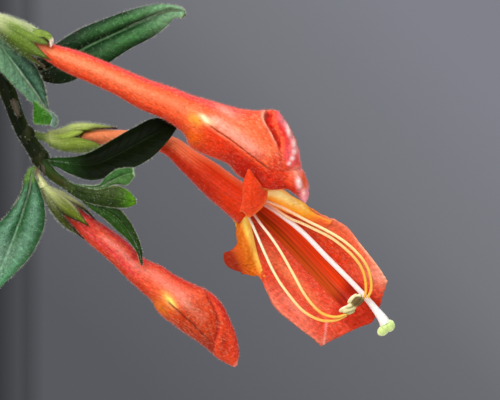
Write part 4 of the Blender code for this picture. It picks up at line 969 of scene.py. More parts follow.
def makeOpenCorolla():
    tube, at = corollaTube("open_flower", openFlower, openTube["stations"], around=80, along=90)
    s, n, front, up = at["s"], at["rise"], at["front"], at["up"]
    grooves = np.zeros(len(s))
    for angle in (-0.66, -0.42, -0.18, 0.06, 0.30, 0.52):
        grooves += bell(up - angle, 0.05) * ramp(front, 0.1, 0.4) * ramp(s, -26, -20)
    swell(tube, -0.07 * grooves * at["body"], at["outward"])
    paint(tube, "#d03206",
          # painted highlight along the top, painted shade on the underside
          ("#f46a30", 0.80 * ramp(up, 0.50, 0.88) * (1 - 0.6 * ramp(s, -8, -3))),
          ("#a81a00", 0.85 * ramp(-up, -0.15, 0.55) * (1 - ramp(s, -9, -4)) * ramp(s, -24, -18)),
          ("#cc2c00", 0.8 * ramp(-up, -0.1, 0.6) * ramp(s, -9, -4)),
          ("#c83010", 0.7 * ramp(-front, 0.2, 0.9)),
          ("#f4703a", 0.6 * (1 - ramp(s, -22, -10)) * ramp(up, -0.2, 0.5)),
          ("#ea7c50", 0.8 * (1 - ramp(s, -22, -12)) * ramp(up, -0.5, 0.2)),
          ("#de8252", 0.85 * (1 - ramp(s, -33, -28))),
          ("#b42404", 0.55 * grooves))
    # plain evens the mottling and sets the painted emission, strongest along the upper side
    mark(tube, wet=0.18, downy=0.14, plain=0.15 + 0.7 * ramp(up, 0.0, 0.6))
    dressSkin(tube, petal)

    sheet, at = netSheet("hood", openFlower, hood["net"], across=90, along=110)
    s, n, u, v = at["s"], at["rise"], at["u"], at["v"]
    off = troughShare(s, n)
    channel = (1 - ramp(abs(off), 0.88, 1.06)) * (1 - ramp(s, 30.0, 32.0))
    edgeAway = np.minimum(u, 1 - u) * np.interp(s, (0, 10, 20, 34), (8, 17, 23, 19))
    endAway = (1 - v) * 36.0
    margin = bell(edgeAway, 0.9) * ramp(s, 12, 15)
    lumps = 0.09 * np.sin(2.3 * s + 2.9 * n) * np.sin(3.1 * n - 1.4 * s) + 0.06 * np.sin(4.4 * s - 2.6 * n)
    shoulder = bell(off + 1.08, 0.10) * (1 - ramp(s, 28, 31))
    fold = bell(n + 9.6 + 1.565 * (s - 28.8), 0.40) * ramp(-n, 9.2, 10.2)
    facet = ramp(s, 27.5, 29.5) * ramp(n, -8.2, -7.0) * (1 - ramp(n, 0.5, 2.0))
    swell(sheet, (1 - channel) * lumps + 0.10 * shoulder + 0.12 * fold)
    early = ramp(n, 3.5, 5.5) * (1 - ramp(s, 21, 27))
    paint(sheet, "#d63416",
          # painted highlight: pale pink toward the margins
          ("#f6866c", (0.70 + 0.2 * (n < 0) - 0.3 * ramp(s, 27, 30) * (n < 0)) * bell(edgeAway, 2.4)
                          * ramp(s, 12, 18) * (0.4 + 0.6 * mottle(s, n)) * (1 - 0.6 * early)),
          ("#f08060", 0.22 * mottle(1.3 * n, 0.8 * s) * (1 - channel)),
          ("#ea6c40", 0.50 * ramp(n, 1.5, 5.0) * ramp(s, 9, 14)),
          ("#d83408", 0.8 * ramp(off, 1.0, 1.25) * (1 - ramp(n, 4.0, 6.0)) * (1 - ramp(s, 22, 27))),
          ("#f88c58", 0.6 * spot(s, n, 17, -7.4, 9, 1.2, -0.12)),
          ("#ffa088", 0.5 * spot(s, n, 21.4, -11.9, 4.5, 1.2, -0.10)),
          ("#c44c14", 0.95 * channel * (1 - ramp(off, -0.5, 0.5))),
          ("#ea4008", 0.95 * channel * ramp(off, -0.5, 0.5)),
          ("#b4460e", 0.6 * channel * bell(off + 0.45, 0.12)),
          ("#b43408", 0.5 * channel * bell(off - 0.15, 0.10)),
          ("#8c340c", 0.45 * bell(off + 1.0, 0.07) * (1 - ramp(s, 26, 30))),
          ("#9c1000", 0.9 * channel * ramp(s, 25, 29)),
          ("#b42408", 0.75 * facet),
          # painted highlights along the margins
          ("#f6987c", 0.45 * margin),
          ("#ffb490", 0.9 * bell(edgeAway, 0.9) * (n > 0) * ramp(s, 20, 26)),
          # painted highlights on the upper side
          ("#f8a48c", 0.60 * spot(s, n, 30.4, 5.0, 2.8, 1.8)),
          ("#f6a068", 0.55 * spot(s, n, 12.5, 6.0, 3.5, 1.6)),
          ("#c83214", 0.5 * bell(endAway, 0.8)),
          ("#f4a62c",
           0.95 * (1 - ramp(s, 7, 13)) * (ramp(-n - 0.58 * s - 3.4, 0, 1.2) + ramp(off, 1.6, 2.2))),
          ("#b02a0c", 0.6 * (1 - ramp(s, -1, 4)) * (abs(off) < 1.4)),
          # painted shadow line along the lower edge
          ("#a01a0c", 0.6 * bell(edgeAway, 0.35) * (n < 0) * ramp(s, 13, 16)),
          ("#ffb0a4", 0.7 * fold))
    mark(sheet, wet=0.22 * (1 - channel), downy=0.55 * (1 - channel) * (1 - facet))
    dressSkin(sheet, petal, hood["thickness"])
    sheet.data.materials.append(satin)
    # the smooth floor takes the satin finish
    centres = np.array([tuple(face.center) for face in sheet.data.polygons])
    c, d = math.cos(math.radians(openFlower["fall"])), math.sin(math.radians(openFlower["fall"]))
    local = (centres - onShoot(openFlower["origin"])) / mm
    faceS, faceN = local[:, 0] * c - local[:, 2] * d, local[:, 0] * d + local[:, 2] * c
    index = ((abs(troughShare(faceS, faceN)) < 1.0) & (faceS < 30)).astype(int)
    sheet.data.polygons.foreach_set("material_index", index)
    growHairs(sheet, hood["hairs"], hood["hairLength"], hairWidth["hood"], rosyHair, spread=0.4,
              where=lambda centre, normal: (normal[:, 1] > -0.3).astype(float))

    lobes = []
    for name, values, onRight in (("left_lobe", leftLobe, False), ("right_lobe", rightLobe, True)):
        lobe, at = netSheet(name, openFlower, values["net"], across=36, along=70)
        s, n, u, v = at["s"], at["rise"], at["u"], at["v"]
        outer = -n - 0.58 * s - 4.05
        leftCoats = (("#ffe478", 0.95 * bell(outer + 0.1, 1.0) * (0.5 + 0.5 * mottle(s, n))),
                     ("#c04c00", 0.95 * ramp(outer, 0.3, 1.7)),
                     ("#e89024", 0.40 * ramp(outer, 0.2, 0.8) * mottle(1.2 * n, s)),
                     ("#b84408", 0.8 * ramp(outer, 2.4, 4.2)),
                     ("#8c1e08", 0.95 * ramp(-n - 0.45 * s, 8.8, 10.8)),
                     ("#dc5c1c", 0.8 * ramp(s, 9.5, 12.0)))
        rightCoats = (("#ffee9c", 1.1 * bell(u - 0.66, 0.24) * (1 - ramp(s, 5.0, 12))),
                      ("#f08c18", 0.9 * (1 - ramp(u, 0.15, 0.50))),
                      ("#f6a024", 0.75 * mottle(s, n) * ramp(s, 3.0, 7.0)),
                      ("#ec5c34", 0.9 * ramp(s, 9.5, 14.0) * (1 - 0.5 * bell(u - 1, 0.3))),
                      ("#f2a050", 0.6 * bell(u - 1, 0.10)))
        paint(lobe, "#ffb52c", *(rightCoats if onRight else leftCoats))
        # plain evens the mottling and sets the painted emission, more at the start of the right lobe where
        # the upper flower shades it
        mark(lobe, wet=0.2, downy=0.15, plain=0.65 + 0.35 * onRight * (1 - ramp(s, 3, 7)))
        swell(lobe, (0.14 * np.sin(1.7 * s + 0.9 * n) + 0.22 * (mottle(s, n) - 0.5)) * np.sin(math.pi * u))
        dressSkin(lobe, petal, values["thickness"])
        lobes.append(lobe)

    lip, at = netSheet("bent_lip", openFlower, bentLip["net"], across=48, along=40, order=(0, 2, 1))
    s, n, u, v = at["s"], at["rise"], at["u"], at["v"]
    paint(lip, "#e63206",
          ("#f56a2c", 0.8 * (1 - ramp(v, 0.02, 0.20))),
          ("#f2602c", 0.6 * bell(np.minimum(u, 1 - u), 0.08)),
          ("#d43008", 0.6 * spot(u, v, 0.25, 0.5, 0.18, 0.4)),
          ("#d42c12", 0.7 * ramp(v, 0.60, 0.98) * ramp(u, 0.45, 0.9)),
          ("#fa6a2c", 0.28 * mottle(s, n)),
          ("#f2a02c", 0.7 * (1 - ramp(v, 0.0, 0.08)) * (1 - ramp(u, 0.05, 0.5))))
    # plain evens the mottling and sets the painted emission
    mark(lip, wet=0.0, downy=0.20, plain=0.4)
    dressSkin(lip, petal, bentLip["thickness"])
    growHairs(lip, bentLip["hairs"], bentLip["hairLength"], hairWidth["petal"], rosyHair, spread=0.4)
    growPetalHairs(tube, openTube)
    joinAll(tube, [sheet, lip, *lobes])
    finishPiece(tube, ["corolla_open"])


makeOpenCorolla()
print("open flower made")


# stamens and pistil

stamens = {
    "routes": (
        ((-1.6, -2.6, 0.6), (1.2, -3.4, 0.2), (4.6, -5.0, -0.2), (8.0, -6.7, -0.4), (11.6, -8.4, -0.6),
         (15.0, -9.7, -0.8), (18.7, -10.65, -1.0), (22.5, -11.3, -1.1), (25.4, -11.1, -1.2),
         (27.8, -10.3, -1.2), (29.6, -8.9, -1.2), (30.5, -7.6, -1.2), (31.2, -5.9, -1.2)),
        ((-1.6, -1.2, -0.4), (1.7, -2.1, -0.6), (4.4, -2.8, -0.8), (7.2, -3.4, -1.0), (10.4, -4.3, -1.2),
         (13.5, -5.4, -1.4), (18.1, -7.2, -1.8), (21.0, -8.3, -1.9), (24.1, -9.0, -2.0), (26.6, -9.1, -1.9),
         (28.5, -8.5, -1.9), (30.0, -7.4, -1.8), (31.1, -5.7, -1.7)),
        ((-1.6, 0.4, 0.8), (2.8, 1.8, 0.8), (6.0, 2.1, 0.8), (8.5, 2.5, 0.7), (10.6, 3.2, 0.6),
         (14.1, 4.1, 0.3), (17.7, 4.9, 0.0), (21.0, 5.1, -0.3), (24.3, 4.9, -0.6), (27.2, 4.1, -0.8),
         (29.5, 2.6, -1.0), (31.2, 0.7, -1.0), (31.8, -0.7, -1.0)),
        ((-1.6, 0.8, -0.6), (3.0, 2.5, -0.9), (6.9, 3.5, -1.1), (11.3, 4.4, -1.3), (15.0, 5.3, -1.5),
         (18.7, 6.0, -1.6), (22.2, 6.2, -1.7), (25.8, 5.8, -1.8), (28.5, 4.8, -1.8), (30.5, 3.3, -1.8),
         (31.8, 1.7, -1.8), (32.3, -0.1, -1.7)),
    ),
    "radius": 0.31,
    # anther sacs: along, across, away, length, breadth, turn in degrees
    "sacs": ((30.1, -5.0, -1.9, 1.55, 0.62, 62), (30.9, -4.6, -2.1, 1.60, 0.58, 60),
             (30.4, -3.9, -2.5, 1.00, 0.50, 66), (31.4, -4.9, -1.4, 1.10, 0.50, 60),
             (29.9, -2.3, -2.3, 1.50, 0.62, 84), (30.7, -2.1, -2.7, 1.55, 0.66, 86),
             (31.5, -1.9, -2.2, 1.45, 0.58, 84), (30.6, -1.0, -2.5, 0.85, 0.50, 70)),
    "middles": (5, 6),
}
pistil = {
    "route": ((-1.6, 0.2, 1.4), (2.0, 1.2, 1.5), (5.6, 1.6, 1.6), (9.8, 1.85, 1.7), (13.7, 1.7, 1.7),
              (19.2, 1.1, 1.6), (23.6, 0.7, 1.5), (27.9, 0.3, 1.3), (31.1, -0.1, 1.1), (33.6, -0.5, 0.9),
              (36.0, -1.0, 0.8), (38.1, -1.5, 0.7), (39.2, -2.0, 0.6)),
    "radii": (0.50, 0.50, 0.52, 0.56, 0.58, 0.58, 0.58, 0.58, 0.62, 0.72, 0.88, 1.12, 1.30),
    "lobes": ((40.0, -1.65, 0.4, 1.25, 1.35, 1.0, 24), (39.6, -3.3, 0.4, 1.10, 1.45, 0.95, -14),
              (39.6, -2.5, 0.2, 1.0, 1.3, 0.9, 0)),
}


def ovalBody(name, flower, spotAt, sizes, turn, coatsAt, around=20, rings=14):
    # a rounded oval from a sphere primitive, laid in the flower's own directions
    thing = addBall(around, rings)
    thing.name = thing.data.name = name
    p = getSpots(thing)
    c, d = math.cos(math.radians(turn)), math.sin(math.radians(turn))
    a, b, z = p[:, 0] * sizes[0], p[:, 1] * sizes[1], p[:, 2] * sizes[2]
    s, n = spotAt[0] + a * c - b * d, spotAt[1] + a * d + b * c
    setSpots(thing, inFlower(flower, s, n, spotAt[2] + z))
    paint(thing, *coatsAt(p))
    weld(thing, 0.001 * mm)
    smooth(thing)
    return thing


def makeStamens():
    parts = []
    for number, route in enumerate(stamens["routes"]):
        p = np.array(route)
        thing, u, v = tubeGrid(f"filament_{number + 1}", inFlower(openFlower, p[:, 0], p[:, 1], p[:, 2]),
                               stamens["radius"] * mm, around=12, along=110)
        base = "#fff2da" if number in (0, 1) else "#ffc79a"
        paint(thing, base,
              ("#f4a08c", 0.8 * (1 - ramp(v, 0.04, 0.24)) * (number in (1, 2))),
              ("#ffe7a4", 0.9 * ramp(v, 0.12, 0.42)),
              ("#f6b330", 0.95 * ramp(v, 0.38, 0.80)))
        dressSkin(thing, waxy)
        parts.append(thing)

    def paleSac(p):
        lit, shaded = 0.8 * ramp(p[:, 1], 0.1, 0.8), 0.7 * ramp(-p[:, 1], 0.3, 0.9)
        return "#eadfa0", ("#fffbe0", lit), ("#a08a44", shaded)

    def brownSac(p):
        return "#6e5420", ("#c4b068", 0.8 * ramp(abs(p[:, 0]), 0.5, 0.95))

    for number, (s, n, depth, long, broad, turn) in enumerate(stamens["sacs"]):
        shades = brownSac if number in stamens["middles"] else paleSac
        sac = ovalBody(f"anther_sac_{number + 1}", openFlower, (s, n, depth), (long, broad, 0.62), turn,
                       shades)
        dress(sac, pollen)
        parts.append(sac)
    joinAll(parts[0], parts[1:])
    parts[0].name = "stamens_fine"
    finishPiece(parts[0], ["stamens"])


def makePistil():
    p = np.array(pistil["route"])
    style, u, v = tubeGrid("pistil_fine", inFlower(openFlower, p[:, 0], p[:, 1], p[:, 2]),
                           np.array(pistil["radii"]) * mm, around=20, along=120)
    paint(style, "#f3ece9",
          ("#f49a78", 0.9 * (1 - ramp(v, 0.04, 0.30))),
          ("#f7dcd8", 0.5 * bell(v - 0.45, 0.2)),
          ("#dbe4b8", 0.6 * ramp(v, 0.90, 1.0)))
    dressSkin(style, waxy)

    def lobeColour(q):
        return "#c6dc84", ("#e4eeb4", 0.7 * ramp(np.hypot(q[:, 0], q[:, 1]), 0.55, 0.95))

    lobes = []
    for number, (s, n, depth, a, b, c, turn) in enumerate(pistil["lobes"]):
        lobe = ovalBody(f"stigma_lobe_{number + 1}", openFlower, (s, n, depth), (a, b, c), turn, lobeColour,
                        around=28, rings=20)
        dress(lobe, waxy)
        lobes.append(lobe)
    joinAll(style, lobes)
    finishPiece(style, ["pistil"])


makeStamens()
makePistil()
print("stamens and pistil made")


# leaves of the flowering shoot

# each leaf: its midrib and its two edges, point by point (mm from the leaf node)
shootLeaves = {
    "leaf_upper": {
        "rib": ((-9.2, 2.1, 23.4), (-5.2, 3.6, 20.6), (-0.8, 4.4, 19.6), (4.4, 4.8, 22.0),
                (10.0, 5.2, 25.2), (16.0, 5.6, 28.0), (22.0, 5.8, 30.7), (27.4, 5.6, 32.9),
                (30.8, 5.0, 33.0), (31.3, 4.4, 31.9)),
        "upper": ((-9.4, 2.1, 23.9), (-5.4, 3.6, 21.3), (-2.2, 4.2, 22.2), (2.4, 4.6, 25.3),
                  (8.0, 5.0, 28.8), (13.8, 5.2, 31.2), (19.8, 5.4, 33.3), (25.6, 5.4, 34.5),
                  (30.2, 5.0, 33.9), (31.6, 4.4, 32.1)),
        "lower": ((-9.0, 2.1, 22.9), (-5.0, 3.4, 19.9), (0.2, 3.6, 17.4), (5.4, 3.8, 17.1),
                  (13.2, 4.2, 20.7), (18.8, 4.6, 24.3), (24.4, 5.0, 27.3), (27.4, 5.2, 29.6),
                  (29.2, 4.8, 31.4), (30.9, 4.2, 31.3)),
        "bulge": 0.9, "hairs": 3000, "colours": ("#082a0c", "#07240a", "#6c9868", "#0e2a10"),
        # band: painted highlight; end: the paler far end is painted sheen
        "band": "#447a42", "bandFrom": (0.36, 0.60), "tip": "#5a4a14", "base": "#1e1204", "end": "#7ca47c",
    },
    "leaf_underside": {
        "rib": ((0.8, -0.6, -0.2), (3.6, -1.4, -0.5), (7.0, -2.2, -0.9), (12.0, -2.6, -0.6),
                (17.0, -2.8, 1.6), (22.0, -2.8, 4.4), (26.5, -2.6, 6.6), (29.9, -2.2, 7.4)),
        "upper": ((0.9, -0.6, 0.3), (3.8, -1.2, 0.4), (7.2, -1.6, 0.6), (11.0, -1.8, 1.8),
                  (15.4, -2.0, 4.3), (20.0, -2.2, 6.9), (25.2, -2.3, 9.2), (30.0, -2.2, 7.5)),
        "lower": ((0.8, -0.6, -0.8), (3.6, -1.6, -1.4), (6.4, -2.8, -2.9), (11.4, -3.2, -4.3),
                  (17.4, -3.2, -2.6), (23.2, -3.0, -0.1), (27.2, -2.8, 3.6), (29.8, -2.2, 7.2)),
        # near-black greens: painted shade of the unlit underside
        "bulge": -0.5, "hairs": 600, "quilt": 0.12, "colours": ("#081200", "#060e00", "#0e1a04", "#182a0a"),
        "tip": "#0e1604", "base": "#24481a",
    },
    "leaf_lower": {
        "rib": ((-1.8, -1.0, -1.4), (-2.2, -1.6, -3.6), (-2.6, -2.2, -6.6), (-3.9, -2.6, -11.0),
                (-5.9, -2.8, -16.6), (-8.4, -2.6, -22.8), (-11.0, -2.0, -28.0), (-12.8, -1.4, -31.4)),
        "upper": ((-1.4, -1.0, -1.4), (-1.5, -1.5, -3.4), (-0.5, -1.9, -5.9), (0.7, -2.2, -10.2),
                  (0.5, -2.2, -14.9), (-2.3, -2.0, -20.9), (-7.2, -1.8, -26.2), (-12.6, -1.4, -31.3)),
        "lower": ((-2.8, -1.0, -1.9), (-3.8, -1.7, -3.9), (-4.4, -2.0, -7.0), (-6.8, -2.2, -11.2),
                  (-10.4, -2.4, -15.2), (-13.6, -2.2, -20.6), (-14.2, -1.8, -26.6), (-13.0, -1.4, -31.4)),
        "bulge": 0.9, "hairs": 2400, "colours": ("#22582e", "#205024", "#8cb892", "#264c2a"),
        # band: painted highlight; sheen: painted sheen near the rib
        "band": "#6a987a", "sheen": "#acd0ba", "tip": "#5c7c3c", "base": "#64883c", "baseEnd": (0.15, 0.27),
        "end": "#4c8c5c",
    },
    "leaf_folded": {
        "rib": ((-11.4, -1.9, 27.2), (-8.6, -3.4, 24.6), (-5.6, -4.4, 20.8), (-2.9, -4.8, 17.2),
                (-1.0, -4.8, 14.6), (0.4, -4.6, 12.4), (1.4, -4.4, 10.9)),
        "upper": ((-11.0, -1.7, 27.9), (-8.6, -2.6, 27.6), (-4.2, -3.2, 24.6), (-1.2, -3.6, 20.4),
                  (0.7, -3.6, 16.4), (1.3, -3.8, 13.2), (1.6, -4.2, 11.0)),
        "lower": ((-11.9, -2.2, 26.6), (-10.4, -4.4, 21.8), (-7.4, -5.2, 17.8), (-4.6, -5.4, 15.0),
                  (-2.6, -5.2, 13.0), (-0.6, -5.0, 11.8), (1.2, -4.4, 10.8)),
        "bulge": 0.6, "hairs": 2200, "colours": ("#648c68", "#183c28", "#98bca0", "#547c58"),
        # band: painted highlight
        "band": "#507860", "tip": "#6a9468",
    },
    "leaf_tip_upper": {
        "rib": ((5.6, -5.9, -5.9), (8.6, -6.6, -7.2), (12.4, -7.4, -7.8), (16.0, -7.6, -8.4),
                (19.0, -7.4, -9.0), (20.9, -7.0, -9.2)),
        "upper": ((5.4, -5.6, -4.6), (8.8, -6.1, -5.8), (12.6, -6.4, -6.5), (16.4, -6.6, -5.6),
                  (19.2, -6.8, -6.8), (21.0, -7.0, -8.8)),
        "lower": ((5.8, -6.1, -7.0), (9.0, -6.7, -8.9), (12.8, -7.2, -10.0), (16.2, -7.4, -10.5),
                  (19.2, -7.3, -10.4), (20.9, -7.0, -9.6)),
        # dark greens: painted shade on the underside
        "bulge": 0.4, "hairs": 900, "quilt": 0.5, "colours": ("#22340a", "#36481c", "#4c6820", "#8c9468"),
        "tip": "#8a5a34", "end": "#4c840c",
    },
    "leaf_tip_small": {
        "rib": ((7.4, -5.0, -5.6), (10.0, -5.0, -6.1), (13.0, -5.0, -5.9), (15.4, -4.8, -4.6),
                (17.6, -4.4, -3.5), (20.4, -4.0, -2.8)),
        "upper": ((7.4, -4.8, -5.2), (10.0, -4.6, -5.6), (12.6, -4.5, -5.4), (14.6, -4.3, -3.4),
                  (17.0, -4.0, -1.9), (20.4, -3.9, -1.7)),
        "lower": ((7.4, -5.2, -6.2), (10.0, -5.4, -6.9), (13.2, -5.6, -6.7), (16.2, -5.4, -5.4),
                  (19.0, -4.9, -5.5), (20.6, -4.2, -3.4)),
        "bulge": 0.5, "hairs": 1000, "quilt": 0.5, "colours": ("#446c34", "#34602a", "#7ca068", "#c0d4b8"),
        "tip": "#a8c49c",
    },
    "leaf_tip_hanging": {
        "rib": ((8.3, -6.0, -8.2), (11.4, -6.4, -9.8), (14.8, -6.8, -11.4), (17.6, -7.0, -13.6),
                (19.8, -7.0, -16.6), (21.4, -6.8, -19.8), (22.2, -6.6, -23.0)),
        "upper": ((8.4, -5.9, -7.8), (12.0, -6.1, -9.2), (15.8, -6.3, -10.0), (18.6, -6.5, -12.2),
                  (20.7, -6.6, -15.6), (22.1, -6.6, -19.4), (22.3, -6.6, -22.9)),
        "lower": ((8.3, -6.1, -8.6), (11.0, -6.6, -10.8), (13.8, -7.0, -12.8), (16.6, -7.2, -15.4),
                  (19.2, -7.2, -17.7), (21.0, -7.0, -20.2), (22.1, -6.6, -23.1)),
        "bulge": 0.3, "hairs": 900, "quilt": 0.6, "colours": ("#24440e", "#1f3a10", "#4e6c30", "#847c5c"),
        "tip": "#2a2414",
    },
}
leafLook = {"thickness": 0.32, "quilt": 0.20, "rib": 0.30, "veins": 9.0}
# the near half of the folded leaf turns back underneath its tip
foldedUnder = (
    ((-1.8, -5.5, 13.3), (-1.7, -5.3, 12.5), (-1.6, -4.8, 11.6)),
    ((-0.8, -5.6, 12.5), (-1.1, -5.4, 11.1), (-1.7, -4.6, 9.6)),
    ((0.2, -5.5, 11.7), (-0.6, -5.4, 9.9), (-1.6, -4.6, 8.0)),
    ((1.4, -5.2, 10.7), (0.9, -5.1, 9.2), (0.2, -4.5, 7.7)),
    ((2.4, -4.9, 9.4), (2.3, -4.8, 8.7), (2.0, -4.4, 7.7)),
)
# and its very tip curls up beside it
foldedCurl = (
    ((1.1, -4.9, 11.1), (1.4, -5.1, 10.6), (1.7, -4.9, 10.0)),
    ((2.6, -4.4, 10.3), (2.5, -4.9, 9.8), (2.2, -4.8, 9.2)),
    ((3.6, -4.0, 9.2), (3.0, -4.7, 8.9), (2.3, -4.7, 8.7)),
    ((3.7, -3.8, 8.0), (3.0, -4.5, 8.1), (2.2, -4.6, 8.1)),
    ((3.1, -3.9, 7.1), (2.6, -4.3, 7.3), (2.0, -4.4, 7.6)),
)


def leafCoats(values, c, v):
    near, far, ribColour, rimColour = values["colours"]
    # band: painted highlight, a lighter strip midway between rib and margin on each half
    band = bell(abs(c) - 0.52, 0.26) * ramp(v, *values.get("bandFrom", (0.15, 0.40)))
    sheen = bell(c + 0.1, 0.45) * ramp(v, 0.54, 0.68) * (1 - ramp(v, 0.82, 0.94))
    return (near, (far, ramp(c, -0.05, 0.10)),
            (values.get("band", near), 0.8 * band * ("band" in values)),
            (ribColour, 0.8 * bell(c, 0.035)),
            (rimColour, 0.7 * bell(1 - abs(c), 0.05)),
            (values.get("base", near), 0.9 * (1 - ramp(v, *values.get("baseEnd", (0.14, 0.42))))),
            (values.get("end", near), 0.9 * ramp(v, 0.60, 0.90) * ("end" in values)),
            (values.get("sheen", near), 0.36 * sheen * ("sheen" in values)),
            (values["tip"], 0.9 * ramp(v, 0.965, 0.995)))


def makeShootLeaf(name, values, across, along):
    rib, upper, lower = (np.array(values[key]) for key in ("rib", "upper", "lower"))

    def shape(u, v):
        c = 1 - 2 * u
        middle, top, bottom = smoothAt(rib, v), smoothAt(upper, v), smoothAt(lower, v)
        edge = np.where(c[:, None] > 0, top, bottom)
        p = middle + (edge - middle) * abs(c)[:, None]
        p[:, 1] -= values["bulge"] * np.sin(math.pi * abs(c)) * np.sin(math.pi * np.clip(v, 0, 1)) ** 0.7
        return onShoot(p)

    thing, u, v = layGrid(name + "_blade", across, along, shape)
    faceTowards(thing, (0, -1, 0))
    c = 1 - 2 * u                               # 1 at the upper edge, -1 at the lower
    body = np.clip(np.sin(math.pi * v) * 2.2, 0, 1)
    phase = v * leafLook["veins"] - abs(c) * 1.1
    quilt = leafLook["quilt"] * values.get("quilt", 1.0) * abs(np.sin(math.pi * phase))
    quilt = quilt * (1 - abs(c) ** 3) * ramp(abs(c), 0.04, 0.3)
    swell(thing, body * (quilt - leafLook["rib"] * bell(c, 0.06)))
    paint(thing, *leafCoats(values, c, v))
    dressSkin(thing, bladeUnder if name == "leaf_underside" else bladeLarge, leafLook["thickness"])
    return thing


def makeTurnedTip(name, points, main, edge, end=None):
    net = np.array(points)

    def shape(u, v):
        return onShoot(smoothAcross(smoothAt(net, v), u))

    thing, u, v = layGrid(name, 16, 30, shape)
    faceTowards(thing, (0, -1, 0))
    paint(thing, main,
          (edge, 0.85 * bell(np.minimum(u, 1 - u), 0.07)),
          (end or main, ramp(v, 0.55, 0.70) * bool(end)))
    dressSkin(thing, bladeLarge, leafLook["thickness"])
    return thing


def makeShootLeaves():
    for name, values in shootLeaves.items():
        small = "tip" in name
        thing = makeShootLeaf(name, values, across=28 if small else 44, along=60 if small else 100)
        if name == "leaf_folded":
            joinAll(thing, [makeTurnedTip("folded_under", foldedUnder, "#357014", "#7fa860"),
                            makeTurnedTip("folded_curl", foldedCurl, "#6c8c7c", "#c4d4cc")])
        growHairs(thing, values["hairs"], 0.50 if small else 0.70, hairWidth["leaf"], clearHair,
                  lean=(0.0, 0.0, 0.1), spread=0.5,
                  where=lambda centre, normal: (abs(normal[:, 1]) < 0.45)
                      + (0.0 if name == "leaf_underside" else 0.04))
        finishPiece(thing, [name])


makeShootLeaves()
print("leaves of the flowering shoot made")


# calyxes of the flowering shoot

# route: centre and radius from the flower stalk to the mouth; each sepal: angle round the
# flower (0 away from the viewer, 90 up), half angle, how far past the mouth, flare, tip drift
shootCalyxes = {
    "calyx_upper": {
        "point": (2.2, 0.85),
        "route": ((-12.2, -3.0, 32.2, 0.9), (-8.4, -6.0, 29.6, 2.2), (-4.1, -6.8, 26.9, 2.95),
                  (-1.2, -7.0, 25.2, 2.95), (1.3, -7.0, 24.0, 2.75)),
        "sepals": ((82, 46, 1.00, 0.10, (-0.5, -0.8, -1.3), 0), (150, 44, 1.00, 0.06, (0.3, -0.3, -0.5), 1),
                   (206, 42, 1.12, 0.04, (0.2, -0.4, -0.5), 1), (258, 44, 1.10, 0.16, (0.0, 0.0, -0.9), 1),
                   (20, 48, 1.0, 0.06, (0.0, 0.4, 0.2), 0)),
        "colours": ("#728c34", "#4c6a18", "#d8e0a4", "#5c3c20"), "shade": "#3c5410", "stalk": "#809c50",
        "hairs": 3000,
    },
    "calyx_middle": {
        "route": ((-1.9, 0.8, 5.6, 0.8), (3.2, 2.1, 4.5, 2.1), (7.0, 2.5, 4.8, 3.0), (10.4, 2.6, 5.0, 3.0),
                  (13.4, 2.6, 5.1, 2.8)),
        "sepals": ((104, 50, 1.18, 0.04, (0.5, -0.5, -0.9), 1), (160, 26, 0.66, 0.0, (0.0, -0.2, 0.3), 0),
                   (222, 50, 1.0, 0.05, (0.0, -0.2, -0.3), 0), (296, 46, 1.05, 0.04, (0.0, 0.2, -0.2), 0),
                   (30, 48, 1.05, 0.04, (0.0, 0.3, 0.2), 0)),
        "point": (2.4, 0.8), "colours": ("#9cb24c", "#687a26", "#c0ce7c", "#42180c"), "shade": "#5c7420",
        "stalk": "#4c6828", "hairs": 2600,
    },
    "calyx_lower": {
        "route": ((-1.4, 0.8, -0.8, 0.5), (0.1, 0.4, -5.5, 0.75), (3.4, -0.4, -9.0, 2.25),
                  (6.7, -1.0, -12.0, 2.95), (9.5, -1.0, -14.2, 2.8)),
        "sepals": ((96, 46, 1.03, 0.03, (0.1, -0.4, -0.7), 1), (170, 46, 1.10, 0.0, (-0.2, -0.3, -0.1), 1),
                   (240, 44, 1.10, 0.05, (0.4, -0.2, -0.3), 1), (312, 44, 1.0, 0.04, (0.0, 0.2, -0.2), 0),
                   (24, 46, 1.02, 0.04, (0.3, 0.3, 0.3), 0)),
        "point": (1.9, 1.0), "stalkRadii": (0.50, 0.46, 1.15),
        "colours": ("#6c7a1e", "#364204", "#f8fcb4", "#34140a"), "shade": "#1c2802", "shadeFrom": -0.40,
        "stalk": "#946450", "paleTo": 0.60, "hairs": 2600,
    },
}


# the pale curled end of the topmost sepal of the upper flower
sepalHook = (((-3.6, -8.2, 29.6), (-3.4, -9.2, 28.6), (-3.0, -9.7, 27.6)),
             ((-1.4, -8.4, 28.7), (-1.2, -9.6, 27.8), (-0.8, -9.9, 26.8)),
             ((0.8, -8.8, 28.3), (0.8, -10.0, 27.5), (0.8, -10.1, 26.7)),
             ((2.2, -9.3, 27.5), (1.9, -10.1, 26.9), (1.5, -10.1, 26.3)),
             ((2.9, -9.6, 26.4), (2.5, -10.1, 26.1), (2.0, -10.0, 25.8)),
             ((2.9, -9.7, 25.3), (2.5, -10.0, 25.3), (2.1, -9.9, 25.2)),
             ((2.3, -9.6, 24.5), (2.2, -9.8, 24.6), (2.1, -9.7, 24.7)))


